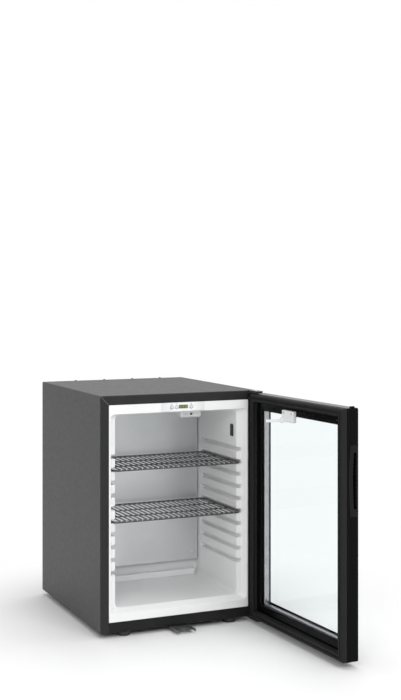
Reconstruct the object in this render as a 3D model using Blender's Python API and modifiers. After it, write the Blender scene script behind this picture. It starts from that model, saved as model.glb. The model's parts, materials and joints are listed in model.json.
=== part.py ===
"""Small absorption minibar with a glazed door, modelled with the door standing open.

Metres, +Z up. The origin lies on the floor, under the middle of the box that holds the
cabinet and its open door. The cabinet's front faces -Y. Every piece is written in the
cabinet's own coordinates: X from its left side, Y back from its front face, Z from the
floor. The door's pieces are written as if it were shut, and its pivot turns them open.
"""

import math

import bmesh
import bpy
from mathutils import Matrix, Vector

# Cabinet: a folded steel wrap round foam, with the cooling unit in a bay behind.
CABINET_W = 0.402
CABINET_D = 0.446
CABINET_H = 0.548
FOOT_H = 0.012
SHEET = 0.001
RIM_SIDE = 0.021
RIM_TOP = 0.022
RIM_BOTTOM = 0.0237
BOX_D = 0.300
REAR_RETURN = 0.012
AIR_SLOT_SIDE = 0.1005
AIR_SLOT_IN = 0.020
CASING_ROUND = 0.0015

# White plastic liner: a flared mouth, then side walls with grooves for the shelves.
LINER_WALL = 0.002
LINER_LIP = 0.005
MOUTH_D = 0.0172
MOUTH_BOTTOM = 0.0183
MOUTH_ROUND = 0.010
GROOVE_DEPTH = 0.0121
GROOVE_REACH_X = 0.0316
GROOVE_H = 0.010
GROOVE_PITCH = 0.030
GROOVE_COUNT = 10
GROOVE_END = 0.222
FLOOR_LIFT = 0.0283
CEILING_DROP = 0.047
MOUTH_DROP = 0.044
GROOVES_DROP = 0.139
ROOM_D = 0.256

# Cooling plate across the back of the inside, and the tube behind it.
PLATE_FRONT = 0.2385
PLATE_T = 0.0015
PLATE_INSET = 0.0025
PLATE_LIFT = 0.040
PLATE_DROP = 0.0053
COLD_TUBE_R = 0.006
COLD_TUBE_DROP = 0.051
COLD_TUBE_PITCH = 0.045
COLD_TUBE_INSET = 0.1063
COLD_TUBE_RUN = 0.150
COLD_TUBE_TAIL = 0.030
COLD_TUBE_BEND = 0.008
GUTTER_D = 0.014
GUTTER_H = 0.016
DRAIN_R = 0.005
DRAIN_WALL = 0.001
DRAIN_IN = 0.005
DRAIN_TAIL = 0.025

# Control strip over the mouth.
STRIP_SHIFT = 0.007
STRIP_W = 0.110
STRIP_H = 0.0205
STRIP_T = 0.002
STRIP_CENTRE_DROP = 0.0325
FASCIA_D = 0.020
STRIP_LEDGE = 0.003
DISPLAY_IN = 0.045
DISPLAY_W = 0.023
DISPLAY_H = 0.008
DISPLAY_T = 0.0035
BUTTON_R = 0.0042
BUTTON_PROUD = 0.001
BUTTON_TRAVEL = 0.0012
BUTTON_IN = {"button_up": 0.026, "button_down": 0.039, "button_power": 0.0765}
BUTTON_CHAMFER = 0.0006
BUTTON_FLANGE = 0.001
STEM_R = 0.0015
BOARD_FRONT = 0.0085
BOARD_T = 0.0016

# Lamp box under the ceiling, with the door switch in its front.
LAMP_W = 0.054
LAMP_D = 0.026
LAMP_H = 0.016
LAMP_SIDE = 0.027
LAMP_ROUND = 0.0015
LAMP_FRONT = 0.046
LENS_T = 0.002
PLUNGER_R = 0.0025
PLUNGER_SHIFT = 0.048
PLUNGER_CHAMFER = 0.0008
PLUNGER_DROP = 0.056
PLUNGER_BACK = 0.060
PLUNGER_TRAVEL = 0.003

# Temperature sensor cover on the right wall.
SENSOR_FRONT = 0.034
SENSOR_L = 0.013
SENSOR_H = 0.029
SENSOR_T = 0.003
SENSOR_DROP = 0.0995
SENSOR_SLOT = 0.002
SENSOR_ROUND = 0.0008
SENSOR_SLOT_DEEP = 0.001

# Wire shelves, each lying in one groove on either side.
SHELF_GROOVES = {"shelf_upper": 1, "shelf_lower": 5}
FRAME_WIRE_R = 0.0025
CROSS_WIRE_R = 0.0015
SHELF_FRONT = 0.008
SHELF_SIDE = 0.0345
SHELF_CORNER = 0.012
WIRE_PITCH = 0.0265
WIRE_SINK = 0.0003
BRACE_SINK = 0.0008
BRACE_COUNT = 2

# Feet under the cabinet.
FOOT_R = 0.016
FOOT_INSET = 0.064
FOOT_FRONT = 0.020
FOOT_BACK = 0.026
FOOT_ROUND = 0.003

# Door: an insulating glass pane in a black frame, with the seal round its inner face.
DOOR_SIDE = 0.001
DOOR_DROP = 0.0065
DOOR_LIFT = 0.0005
DOOR_GAP = 0.0003
SEAL_T = 0.0125
FRAME_T = 0.0285
SEAL_W = 0.0194
SEAL_ROUND = 0.006
SIGHT_MARGIN = 0.0385
INNER_FRAME_T = 0.0052
GLASS_MARGIN = 0.0297
GLASS_T = 0.004
SPACER_W = 0.0085
SPACER_SET = 0.001
EDGE_ROUND = 0.0005
INNER_EDGE = 0.0008
BELLOWS_FLAT = 0.0160
BELLOWS_FACE = 0.0182
BELLOWS_NECK = 0.0150
BELLOWS_NOSE = 0.0022
BELLOWS_LIP = 0.0042
BELLOWS_START = 0.0058
BELLOWS_END = 0.0078
SEAL_HEEL = 0.0092
SEAL_TUCK = 0.0008
CORNER_ROUND = 0.004

# Hinge: pins at the top and bottom of the door's right edge.
OPEN_DEG = 92.36
PIN_IN = 0.00635
PIN_OUT = 0.0176
PIN_R = 0.003
BUSH_WALL = 0.0015
BUSH_DEEP = 0.015
BUSH_FLANGE = 0.0012
BUSH_FLANGE_R = 0.0058
HINGE_W = 0.0195
HINGE_REACH = 0.045
HINGE_T = 0.0025
HINGE_TAIL = 0.040
CAP_T = 0.0022
PIN_HEAD_R = 0.005
PIN_HEAD_T = 0.0007
PIN_HEAD_CHAMFER = 0.0004
PIN_CHAMFER = 0.001
PIN_NECK = 0.0005
LOW_HINGE_T = 0.003

# Recessed pull in the door's free edge.
PULL_DROP = 0.0854
PULL_H = 0.1526
PULL_INNER = 0.017
PULL_W = 0.0230
PULL_PROUD = 0.0006
PULL_FLANGE = 0.0014
PULL_ROUND = 0.004
PULL_EDGE = 0.0004
CUP_INNER = 0.0265
CUP_W = 0.0101
CUP_H = 0.1219
CUP_DEEP = 0.020
CUP_WALL = 0.0015
CUP_ROUND = 0.0045

# Lock at the middle of the door's bottom, and the striker under the cabinet.
LOCK_SHIFT = -0.003
LOCK_Z = 0.018
BARREL_R = 0.009
BARREL_PROUD = 0.0015
PLUG_R = 0.006
BARREL_CHAMFER = 0.0008
LOCK_CHAMFER = 0.0004
KEY_W = 0.0014
KEY_H = 0.007
KEY_DEEP = 0.006
BOLT_W = 0.010
BOLT_T = 0.005
BOLT_L = 0.023
BOLT_T_AT = 0.0245
BOLT_HIDE = 0.0025
STRIKER_W = 0.046
STRIKER_T = 0.0015
STRIKER_REACH = 0.037
STRIKER_WING = 0.046
STRIKER_BACK = 0.045
STRIKER_TAB = 0.012
STRIKER_DROP = 0.003
STRIKER_WALL = 0.002
STRIKER_WING_DROP = 0.006
STRIKER_HOLE = 0.006
STRIKER_HOLE_IN = 0.003
SCREW_R = 0.003
SCREW_T = 0.0016

# Small fittings on the door.
PLUG_CAP_IN = 0.005
PLUG_CAP_T_AT = 0.028
PLUG_CAP_L = 0.012
PLUG_CAP_W = 0.007
PLUG_CAP_H = 0.0035
ARM_SIDE = 0.046
ARM_ROUND = 0.002
ARM_W = 0.050
ARM_H = 0.024
ARM_T = 0.0097
ARM_TOP_DROP = 0.032
FINGER_W = 0.004
FINGER_H = 0.006
FINGER_REACH = 0.041
FINGER_ROOT = 0.002

# Cooling unit in the rear bay.
RAIL_H = 0.030
RAIL_T = 0.0012
RAIL_D = 0.0088
RAIL_DROP = 0.078
RAIL_LIFT = 0.070
BOILER_R = 0.036
BOILER_X = 0.066
BOILER_BOTTOM = 0.075
BOILER_DROP = 0.203
BOILER_ROUND = 0.006
BOILER_WALL = 0.001
RISER_R = 0.009
CONDENSER_DROP = 0.063
CONDENSER_BEND = 0.020
CONDENSER_FALL = 0.020
CONDENSER_SIDE = 0.067
FIN_SIZE = 0.050
FIN_T = 0.001
FIN_PITCH = 0.012
FIN_IN = 0.059
FIN_STOP = 0.050
VESSEL_R = 0.030
VESSEL_GAP = 0.024
VESSEL_DOME = 0.012
VESSEL_WALL = 0.0015
VESSEL_LIFT = 0.085
COIL_TUBE_R = 0.008
COIL_LEFT = 0.165
COIL_SIDE = 0.067
COIL_BEND = 0.012
COIL_DEPTH = 0.060
COIL_LOOPS = 4
COIL_PITCH = 0.040
COIL_LIFT = 0.030
HEAT_TUBE_R = 0.0065
HEATER_R = 0.006
HEATER_L = 0.040
TERMINAL_W = 0.050
TERMINAL_D = 0.045
TERMINAL_H = 0.080
TERMINAL_SIDE = 0.066
TERMINAL_GAP = 0.010
TERMINAL_IN = 0.006
TERMINAL_ROUND = 0.002
GLAND_R = 0.007
GLAND_BORE = 0.0035
GLAND_L = 0.010
GLAND_LIP = 0.002
GLAND_CHAMFER = 0.001
REAR_SCREW_X = (0.091, 0.172)
REAR_SCREW_IN = 0.006

# Clearances between separate pieces.
FIT = 0.0003
LOOSE = 0.0005

# The least radius of a rounded outline's corners.
LEAST_ROUND = 0.0002

# Levels and widths that follow from the sizes above.
BASE_Z = FOOT_H
TOP_Z = BASE_Z + CABINET_H
OPENING_TOP = TOP_Z - MOUTH_DROP
CEILING_Z = TOP_Z - CEILING_DROP
RIM_TOP_Z = TOP_Z - RIM_TOP
RIM_BOTTOM_Z = BASE_Z + RIM_BOTTOM
SILL_Z = RIM_BOTTOM_Z + MOUTH_BOTTOM
FLOOR_Z = RIM_BOTTOM_Z + FLOOR_LIFT
WALL_X = GROOVE_REACH_X + GROOVE_DEPTH
RIGHT_WALL_X = CABINET_W - WALL_X
LIP_X = RIM_SIDE + FIT
MOUTH_X = RIM_SIDE + LINER_LIP
GROOVE_TOP = TOP_Z - GROOVES_DROP
DOOR_T = SEAL_T + FRAME_T
DOOR_LEFT = DOOR_SIDE
DOOR_RIGHT = CABINET_W - DOOR_SIDE
DOOR_W = DOOR_RIGHT - DOOR_LEFT
DOOR_Z = BASE_Z + DOOR_LIFT
DOOR_TOP = TOP_Z - DOOR_DROP
DOOR_H = DOOR_TOP - DOOR_Z
PIN_X = DOOR_RIGHT - PIN_IN
PIN_Y = -PIN_OUT
MIDDLE = CABINET_W / 2
STRIP_LEFT = MIDDLE + STRIP_SHIFT - STRIP_W / 2
PLUNGER_X = MIDDLE + PLUNGER_SHIFT
LAMP_LEFT = PLUNGER_X - LAMP_SIDE
ARM_LEFT = PLUNGER_X - ARM_SIDE
LOCK_X = MIDDLE + LOCK_SHIFT
UNIT_BACK = CABINET_D - SHEET - FIT - RAIL_D
TERMINAL_X = CABINET_W - TERMINAL_SIDE
CONDENSER_END = CABINET_W - CONDENSER_SIDE
COIL_RIGHT = CABINET_W - COIL_SIDE
VESSEL_LEFT = BOILER_X + BOILER_R + VESSEL_GAP
VESSEL_RIGHT = TERMINAL_X - TERMINAL_GAP
OPEN = math.radians(OPEN_DEG)


def turned_out(x, y):
    """The place of a point of the shut door once the door stands open."""
    dx = x - PIN_X
    dy = y - PIN_Y
    return (PIN_X + dx * math.cos(OPEN) - dy * math.sin(OPEN),
            PIN_Y + dx * math.sin(OPEN) + dy * math.cos(OPEN))


DOOR_FACE_Y = -(DOOR_GAP + DOOR_T)
REACH_X = turned_out(DOOR_LEFT, DOOR_FACE_Y)[0]
REACH_Y = turned_out(DOOR_LEFT, -DOOR_GAP)[1]
MIDDLE_X = REACH_X / 2
MIDDLE_Y = (CABINET_D + REACH_Y) / 2

FINISHES = {
    "black paint": ((0.030, 0.030, 0.033), 0.42, 0.0),
    "black plastic": ((0.022, 0.022, 0.024), 0.38, 0.0),
    "black rubber": ((0.018, 0.018, 0.019), 0.65, 0.0),
    "white plastic": ((0.86, 0.87, 0.88), 0.32, 0.0),
    "grey label": ((0.60, 0.61, 0.63), 0.45, 0.0),
    "dark grey plastic": ((0.09, 0.09, 0.10), 0.5, 0.0),
    "display": ((0.42, 0.48, 0.16), 0.2, 0.0),
    "circuit board": ((0.05, 0.25, 0.10), 0.5, 0.0),
    "foam": ((0.85, 0.78, 0.52), 0.9, 0.0),
    "bare aluminium": ((0.74, 0.75, 0.77), 0.35, 1.0),
    "zinc steel": ((0.55, 0.56, 0.58), 0.4, 1.0),
    "dark unit paint": ((0.05, 0.05, 0.055), 0.55, 0.0),
    "glass": ((0.88, 0.95, 0.96), 0.03, 0.0),
    "coated wire": ((0.025, 0.025, 0.028), 0.35, 0.0),
    "chrome": ((0.8, 0.8, 0.82), 0.12, 1.0),
}


def new_collection(name):
    group = bpy.data.collections.new(name)
    bpy.context.scene.collection.children.link(group)
    return group


def finish(name):
    """The material of one finish, made the first time that it is asked for."""
    found = bpy.data.materials.get(name)
    if found:
        return found
    colour, roughness, metallic = FINISHES[name]
    made = bpy.data.materials.new(name)
    made.use_nodes = True
    shader = made.node_tree.nodes["Principled BSDF"]
    shader.inputs["Base Color"].default_value = (*colour, 1.0)
    shader.inputs["Roughness"].default_value = roughness
    shader.inputs["Metallic"].default_value = metallic
    made.diffuse_color = (*colour, 1.0)
    return made


class Builder:
    """Keeps the collections and the empties that the pieces hang on."""

    def __init__(self):
        for old in list(bpy.data.objects):
            bpy.data.objects.remove(old, do_unlink=True)
        self.parts = new_collection("Minibar")
        self.tools = new_collection("Cutters")
        self.cabinet = self.empty("cabinet_frame", (-MIDDLE_X, -MIDDLE_Y, 0.0), None)
        self.pivot = self.empty("door_pivot", (PIN_X, PIN_Y, 0.0), self.cabinet)
        self.pivot.rotation_euler = (0.0, 0.0, OPEN)

    def empty(self, name, place, parent):
        made = bpy.data.objects.new(name, None)
        made.location = place
        made.parent = parent
        self.parts.objects.link(made)
        return made

    def hang(self, obj, on_door, place=(0.0, 0.0, 0.0)):
        """Parents a piece to the cabinet, or to the door's pivot at its place on the shut door."""
        obj.parent = self.pivot if on_door else self.cabinet
        shift = Vector((PIN_X, PIN_Y, 0.0)) if on_door else Vector()
        obj.location = Vector(place) - shift

    def part(self, name, mesh, finish_name, on_door=False, place=(0.0, 0.0, 0.0)):
        made = bpy.data.objects.new(name, mesh)
        mesh.materials.clear()
        mesh.materials.append(finish(finish_name))
        self.parts.objects.link(made)
        self.hang(made, on_door, place)
        return made

    def work(self, target, mesh, operation):
        """Cuts a mesh out of a piece, or joins it on, with a helper that stays out of renders."""
        helper = bpy.data.objects.new(f"{target.name}_{operation.lower()}", mesh)
        self.tools.objects.link(helper)
        helper.hide_render = True
        helper.display_type = "WIRE"
        helper.parent = target.parent
        on_door = target.parent == self.pivot
        shift = Vector((PIN_X, PIN_Y, 0.0)) if on_door else Vector()
        helper.location = -shift
        step = target.modifiers.new(operation.title(), "BOOLEAN")
        step.operation = operation
        step.solver = "EXACT"
        step.object = helper

    def cut(self, target, mesh):
        self.work(target, mesh, "DIFFERENCE")

    def join(self, target, mesh):
        self.work(target, mesh, "UNION")


def written(bm, name, smooth=0.0):
    """A mesh from a bmesh, shaded smooth across edges below an angle in degrees."""
    bmesh.ops.recalc_face_normals(bm, faces=bm.faces)
    mesh = bpy.data.meshes.new(name)
    bm.to_mesh(mesh)
    bm.free()
    if smooth:
        mesh.shade_smooth()
        mesh.set_sharp_from_angle(angle=math.radians(smooth))
    return mesh


def add_box(bm, low, high):
    """A box between two corners, added to a bmesh."""
    made = bmesh.ops.create_cube(bm, size=1.0)["verts"]
    low = Vector(low)
    high = Vector(high)
    bmesh.ops.scale(bm, vec=high - low, verts=made)
    bmesh.ops.translate(bm, vec=(high + low) / 2, verts=made)


def box(low, high):
    return boxes([(low, high)])


def boxes(pairs):
    """One mesh of boxes that don't touch each other."""
    bm = bmesh.new()
    for low, high in pairs:
        add_box(bm, low, high)
    return written(bm, "boxes")


def rod(radius, length, axis, centre=(0.0, 0.0, 0.0), segments=24):
    """A cylinder along X, Y or Z, centred on a point."""
    bm = bmesh.new()
    bmesh.ops.create_cone(bm, cap_ends=True, segments=segments, radius1=radius,
                          radius2=radius, depth=length)
    turn = {"X": Matrix.Rotation(math.pi / 2, 4, "Y"),
            "Y": Matrix.Rotation(math.pi / 2, 4, "X"),
            "Z": Matrix.Identity(4)}[axis]
    bmesh.ops.transform(bm, matrix=Matrix.Translation(centre) @ turn, verts=bm.verts)
    return written(bm, "rod", 40)


def rounded_outline(width, height, radius, steps):
    """Points round a rectangle centred on zero, with arcs at its corners."""
    radius = max(radius, LEAST_ROUND)
    points = []
    for quarter in range(4):
        start = quarter * math.pi / 2
        side_x = 1 if quarter in (0, 3) else -1
        side_y = 1 if quarter in (0, 1) else -1
        cx = side_x * (width / 2 - radius)
        cy = side_y * (height / 2 - radius)
        for step in range(steps + 1):
            angle = start + step / steps * math.pi / 2
            points.append((cx + radius * math.cos(angle), cy + radius * math.sin(angle)))
    return points


def loft(loops, closed=False):
    """Skins matching loops of points in order, and caps the ends unless the loops close."""
    bm = bmesh.new()
    rows = [[bm.verts.new(point) for point in loop] for loop in loops]
    pairs = list(zip(rows, rows[1:]))
    if closed:
        pairs.append((rows[-1], rows[0]))
    count = len(rows[0])
    for one, two in pairs:
        for i in range(count):
            j = (i + 1) % count
            bm.faces.new((one[i], one[j], two[j], two[i]))
    if not closed:
        bm.faces.new(rows[0])
        bm.faces.new(rows[-1])
    return written(bm, "loft", 35)


def front_slab(left, right, low, high, radius, y_front, y_back, steps=4):
    """A slab across Y with a rounded outline."""
    outline = rounded_outline(right - left, high - low, radius, steps)
    cx = (left + right) / 2
    cz = (low + high) / 2
    return loft([[(cx + a, y, cz + b) for a, b in outline] for y in (y_front, y_back)])


def door_loop(margin, depth, corner_steps=3):
    """A loop round the shut door at a margin in from its edge and a depth out from the seal."""
    outline = rounded_outline(DOOR_W - 2 * margin, DOOR_H - 2 * margin,
                              CORNER_ROUND - margin, corner_steps)
    cx = DOOR_LEFT + DOOR_W / 2
    cz = DOOR_Z + DOOR_H / 2
    return [(cx + a, -DOOR_GAP - depth, cz + b) for a, b in outline]


def door_ring(profile):
    """A mitred ring round the door from its section, as margins and depths in order."""
    return loft([door_loop(margin, depth) for margin, depth in profile], closed=True)


def arc(cx, cy, radius, start, end, steps):
    """Points on an arc, with the angles in degrees."""
    angles = [math.radians(start + (end - start) * i / steps) for i in range(steps + 1)]
    return [(cx + radius * math.cos(a), cy + radius * math.sin(a)) for a in angles]


def smooth_path(points, bend, steps=3, cyclic=False):
    """A polyline with each corner rounded to a bend radius."""
    count = len(points)
    path = []
    for i, point in enumerate(points):
        here = Vector(point)
        if not cyclic and i in (0, count - 1):
            path.append(here)
            continue
        before = Vector(points[i - 1])
        after = Vector(points[(i + 1) % count])
        into = (before - here).normalized()
        out = (after - here).normalized()
        half = into.angle(out) / 2
        if half > math.radians(89):
            path.append(here)
            continue
        cut_back = bend / math.tan(half)
        start = here + into * cut_back
        end = here + out * cut_back
        centre = here + (into + out).normalized() * (bend / math.sin(half))
        for step in range(steps + 1):
            share = step / steps
            blend = ((start - centre) * math.sin((1 - share) * (math.pi - 2 * half))
                     + (end - centre) * math.sin(share * (math.pi - 2 * half)))
            path.append(centre + blend / math.sin(math.pi - 2 * half))
    return path


def wire_curve(name, points, radius, cyclic=False, resolution=2):
    """A round wire or tube along points, as a curve with filled caps."""
    data = bpy.data.curves.new(name, "CURVE")
    data.dimensions = "3D"
    data.bevel_depth = radius
    data.bevel_resolution = resolution
    data.use_fill_caps = True
    line = data.splines.new("POLY")
    line.points.add(len(points) - 1)
    for place, point in zip(line.points, points):
        place.co = (*point, 1.0)
    line.use_cyclic_u = cyclic
    return data


def wire_mesh(points, radius, cyclic=False, resolution=2):
    """The same wire as a closed mesh, ready to be joined or cut."""
    data = wire_curve("wire", points, radius, cyclic, resolution)
    carrier = bpy.data.objects.new("wire", data)
    bpy.context.scene.collection.objects.link(carrier)
    graph = bpy.context.evaluated_depsgraph_get()
    mesh = bpy.data.meshes.new_from_object(carrier.evaluated_get(graph))
    bpy.data.objects.remove(carrier)
    bm = bmesh.new()
    bm.from_mesh(mesh)
    bmesh.ops.remove_doubles(bm, verts=bm.verts, dist=0.00001)
    return written(bm, "wire", 50)


def wires_mesh(lines, radius):
    """Several straight wires that don't touch, as one mesh."""
    bm = bmesh.new()
    for line in lines:
        bm.from_mesh(wire_mesh(line, radius, resolution=1))
    return written(bm, "wires", 50)


def turned(profile, segments=20):
    """A solid of revolution round Z from its radius and height points, from its top down."""
    bm = bmesh.new()
    count = len(profile)
    rows = [bm.verts.new((r, 0.0, h)) for r, h in profile]
    edges = [bm.edges.new((rows[i], rows[i + 1])) for i in range(count - 1)]
    if profile[0][0] > 0:
        edges.append(bm.edges.new((rows[-1], rows[0])))
    bmesh.ops.spin(bm, geom=list(bm.verts) + edges, cent=(0.0, 0.0, 0.0),
                   axis=(0.0, 0.0, 1.0), angle=2 * math.pi, steps=segments,
                   use_merge=True)
    bmesh.ops.remove_doubles(bm, verts=bm.verts, dist=0.00001)
    return written(bm, "turned", 35)


def aimed(mesh, way):
    """Turns a mesh made along +Z so that its top points along -Y or +Y."""
    sign = {"-Y": 1, "+Y": -1}[way]
    mesh.transform(Matrix.Rotation(sign * math.pi / 2, 4, "X"))
    return mesh


def bevelled(obj, width, segments=2, angle=40):
    step = obj.modifiers.new("Bevel", "BEVEL")
    step.width = width
    step.segments = segments
    step.limit_method = "ANGLE"
    step.angle_limit = math.radians(angle)
    return obj


def hinge_room(grow):
    """The space of the upper hinge plate's tail inside the cabinet, larger by a clearance."""
    low_z = DOOR_TOP + BUSH_FLANGE + 2 * FIT
    right = CABINET_W - SHEET - FIT
    return ((right - HINGE_W - grow, -SHEET - grow, low_z - grow),
            (right + grow, HINGE_TAIL + grow, low_z + HINGE_T + grow))


def make_casing(b):
    """The painted wrap: both sides, the top, the rim's sides and top, and the rear returns."""
    casing = b.part("outer_casing", box((0, 0, BASE_Z), (CABINET_W, CABINET_D, TOP_Z)),
                    "black paint")
    bevelled(casing, CASING_ROUND)
    under = BASE_Z - SHEET
    b.cut(casing, box((SHEET, SHEET, under), (CABINET_W - SHEET, CABINET_D - SHEET,
                                              TOP_Z - SHEET)))
    b.cut(casing, box((RIM_SIDE, -SHEET, under), (CABINET_W - RIM_SIDE, SHEET * 2,
                                                  RIM_TOP_Z)))
    b.cut(casing, box((REAR_RETURN, CABINET_D - 2 * SHEET, under),
                      (CABINET_W - REAR_RETURN, CABINET_D + SHEET, TOP_Z - REAR_RETURN)))
    low, high = hinge_room(FIT)
    b.cut(casing, box(low, (high[0], 2 * SHEET, high[2])))


def make_base(b):
    """The bottom sheet with its turned-up front band and an air slot under the bay."""
    left = SHEET + FIT
    right = CABINET_W - SHEET - FIT
    base = b.part("base_panel", box((left, SHEET + FIT, BASE_Z),
                                    (right, CABINET_D - SHEET - FIT, BASE_Z + SHEET)),
                  "black paint")
    b.join(base, box((RIM_SIDE + FIT, 0, BASE_Z), (CABINET_W - RIM_SIDE - FIT, SHEET,
                                                   RIM_BOTTOM_Z)))
    b.join(base, box((RIM_SIDE + FIT, SHEET / 2, BASE_Z),
                     (CABINET_W - RIM_SIDE - FIT, 3 * SHEET, BASE_Z + SHEET)))
    b.cut(base, box((AIR_SLOT_SIDE, BOX_D + AIR_SLOT_IN, BASE_Z - SHEET),
                    (CABINET_W - AIR_SLOT_SIDE, CABINET_D - 2 * FOOT_BACK,
                     BASE_Z + 2 * SHEET)))


def liner_shapes(grow):
    """The outside of the liner as boxes, larger all round by a clearance."""
    right = CABINET_W - LIP_X
    body_left = GROOVE_REACH_X - LINER_WALL
    mouth_left = MOUTH_X - LINER_WALL
    fascia_left = STRIP_LEFT - STRIP_LEDGE
    shapes = [
        ((LIP_X, 0, RIM_BOTTOM_Z + FIT), (right, LINER_WALL, RIM_TOP_Z - FIT)),
        ((mouth_left, 0, SILL_Z - LINER_WALL),
         (CABINET_W - mouth_left, MOUTH_D + LINER_WALL, OPENING_TOP + LINER_WALL)),
        ((body_left, LINER_WALL / 2, FLOOR_Z - LINER_WALL),
         (CABINET_W - body_left, ROOM_D + LINER_WALL, CEILING_Z + LINER_WALL)),
        ((fascia_left, LINER_WALL / 2, CEILING_Z),
         (fascia_left + STRIP_W + 2 * STRIP_LEDGE, FASCIA_D, RIM_TOP_Z - FIT)),
    ]
    return [((lo[0] - grow, lo[1] - grow, lo[2] - grow),
             (hi[0] + grow, hi[1] + grow, hi[2] + grow)) for lo, hi in shapes]


def make_liner(b):
    """The white liner: lip, flared mouth, grooved side walls and the pocket over the mouth."""
    shapes = liner_shapes(0.0)
    liner = b.part("inner_liner", box(*shapes[2]), "white plastic")
    for shape in (shapes[0], shapes[1], shapes[3]):
        b.join(liner, box(*shape))
    room = front_slab(WALL_X, RIGHT_WALL_X, FLOOR_Z, CEILING_Z, MOUTH_ROUND,
                      MOUTH_D / 2, ROOM_D)
    b.cut(liner, room)
    mouth = ((-SHEET, MOUTH_X, SILL_Z, OPENING_TOP),
             (MOUTH_D, GROOVE_REACH_X, FLOOR_Z, CEILING_Z))
    loops = []
    for y, side, low, high in mouth:
        outline = rounded_outline(CABINET_W - 2 * side, high - low, MOUTH_ROUND, 4)
        loops.append([(MIDDLE + a, y, (low + high) / 2 + c) for a, c in outline])
    b.cut(liner, loft(loops))
    grooves = []
    for k in range(GROOVE_COUNT):
        top = GROOVE_TOP - k * GROOVE_PITCH
        grooves.append(((GROOVE_REACH_X, MOUTH_D / 2, top - GROOVE_H),
                        (CABINET_W - GROOVE_REACH_X, GROOVE_END, top)))
    b.cut(liner, boxes(grooves))
    strip_z = TOP_Z - STRIP_CENTRE_DROP
    half = STRIP_H / 2
    b.cut(liner, box((STRIP_LEFT - FIT, -SHEET, strip_z - half - FIT),
                     (STRIP_LEFT + STRIP_W + FIT, STRIP_T + FIT, strip_z + half + FIT)))
    b.cut(liner, box((STRIP_LEFT + STRIP_LEDGE, STRIP_T, strip_z - half + STRIP_LEDGE),
                     (STRIP_LEFT + STRIP_W - STRIP_LEDGE, FASCIA_D - LINER_WALL,
                      strip_z + half - STRIP_LEDGE)))
    tube_left = WALL_X + COLD_TUBE_INSET
    for z in cold_tube_levels():
        b.cut(liner, rod(COLD_TUBE_R + LOOSE, 4 * LINER_WALL, "Y",
                         (tube_left, ROOM_D + LINER_WALL / 2, z), 16))
    b.cut(liner, rod(DRAIN_R + LOOSE, 4 * LINER_WALL, "Y",
                     (MIDDLE, ROOM_D + LINER_WALL / 2, drain_z()), 16))


def cold_tube_levels():
    """The heights of the two runs of the cooling tube."""
    upper = CEILING_Z - COLD_TUBE_DROP
    return (upper, upper - COLD_TUBE_PITCH)


def drain_z():
    """The height of the drain tube, whose top lies level with the gutter's floor."""
    return FLOOR_Z + GUTTER_H / 2 + LINER_WALL


def make_foam(b):
    """The insulating foam that fills the space between the wrap and the liner."""
    gap = SHEET + FIT
    foam = b.part("insulation_foam",
                  box((gap, gap, BASE_Z + gap),
                      (CABINET_W - gap, BOX_D - FIT, TOP_Z - gap)), "foam")
    low, high = hinge_room(FIT)
    b.cut(foam, box(low, high))
    for shape in liner_shapes(FIT):
        b.cut(foam, box(*shape))
    depth = BOX_D - ROOM_D + 8 * LINER_WALL
    y = ROOM_D + depth / 2 - 2 * LINER_WALL
    for z in cold_tube_levels():
        b.cut(foam, rod(COLD_TUBE_R + LOOSE, depth, "Y",
                        (WALL_X + COLD_TUBE_INSET, y, z), 16))
    b.cut(foam, rod(DRAIN_R + LOOSE, depth, "Y", (MIDDLE, y, drain_z()), 16))


def make_rear_panel(b):
    """The steel panel that closes the foam at the front of the bay."""
    gap = SHEET + FIT
    panel = b.part("rear_panel",
                   box((gap, BOX_D, BASE_Z + gap),
                       (CABINET_W - gap, BOX_D + SHEET, TOP_Z - gap)), "zinc steel")
    for z in cold_tube_levels():
        b.cut(panel, rod(COLD_TUBE_R + LOOSE, 6 * SHEET, "Y",
                         (WALL_X + COLD_TUBE_INSET, BOX_D, z), 16))
    b.cut(panel, rod(DRAIN_R + LOOSE, 6 * SHEET, "Y", (MIDDLE, BOX_D, drain_z()), 16))


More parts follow.
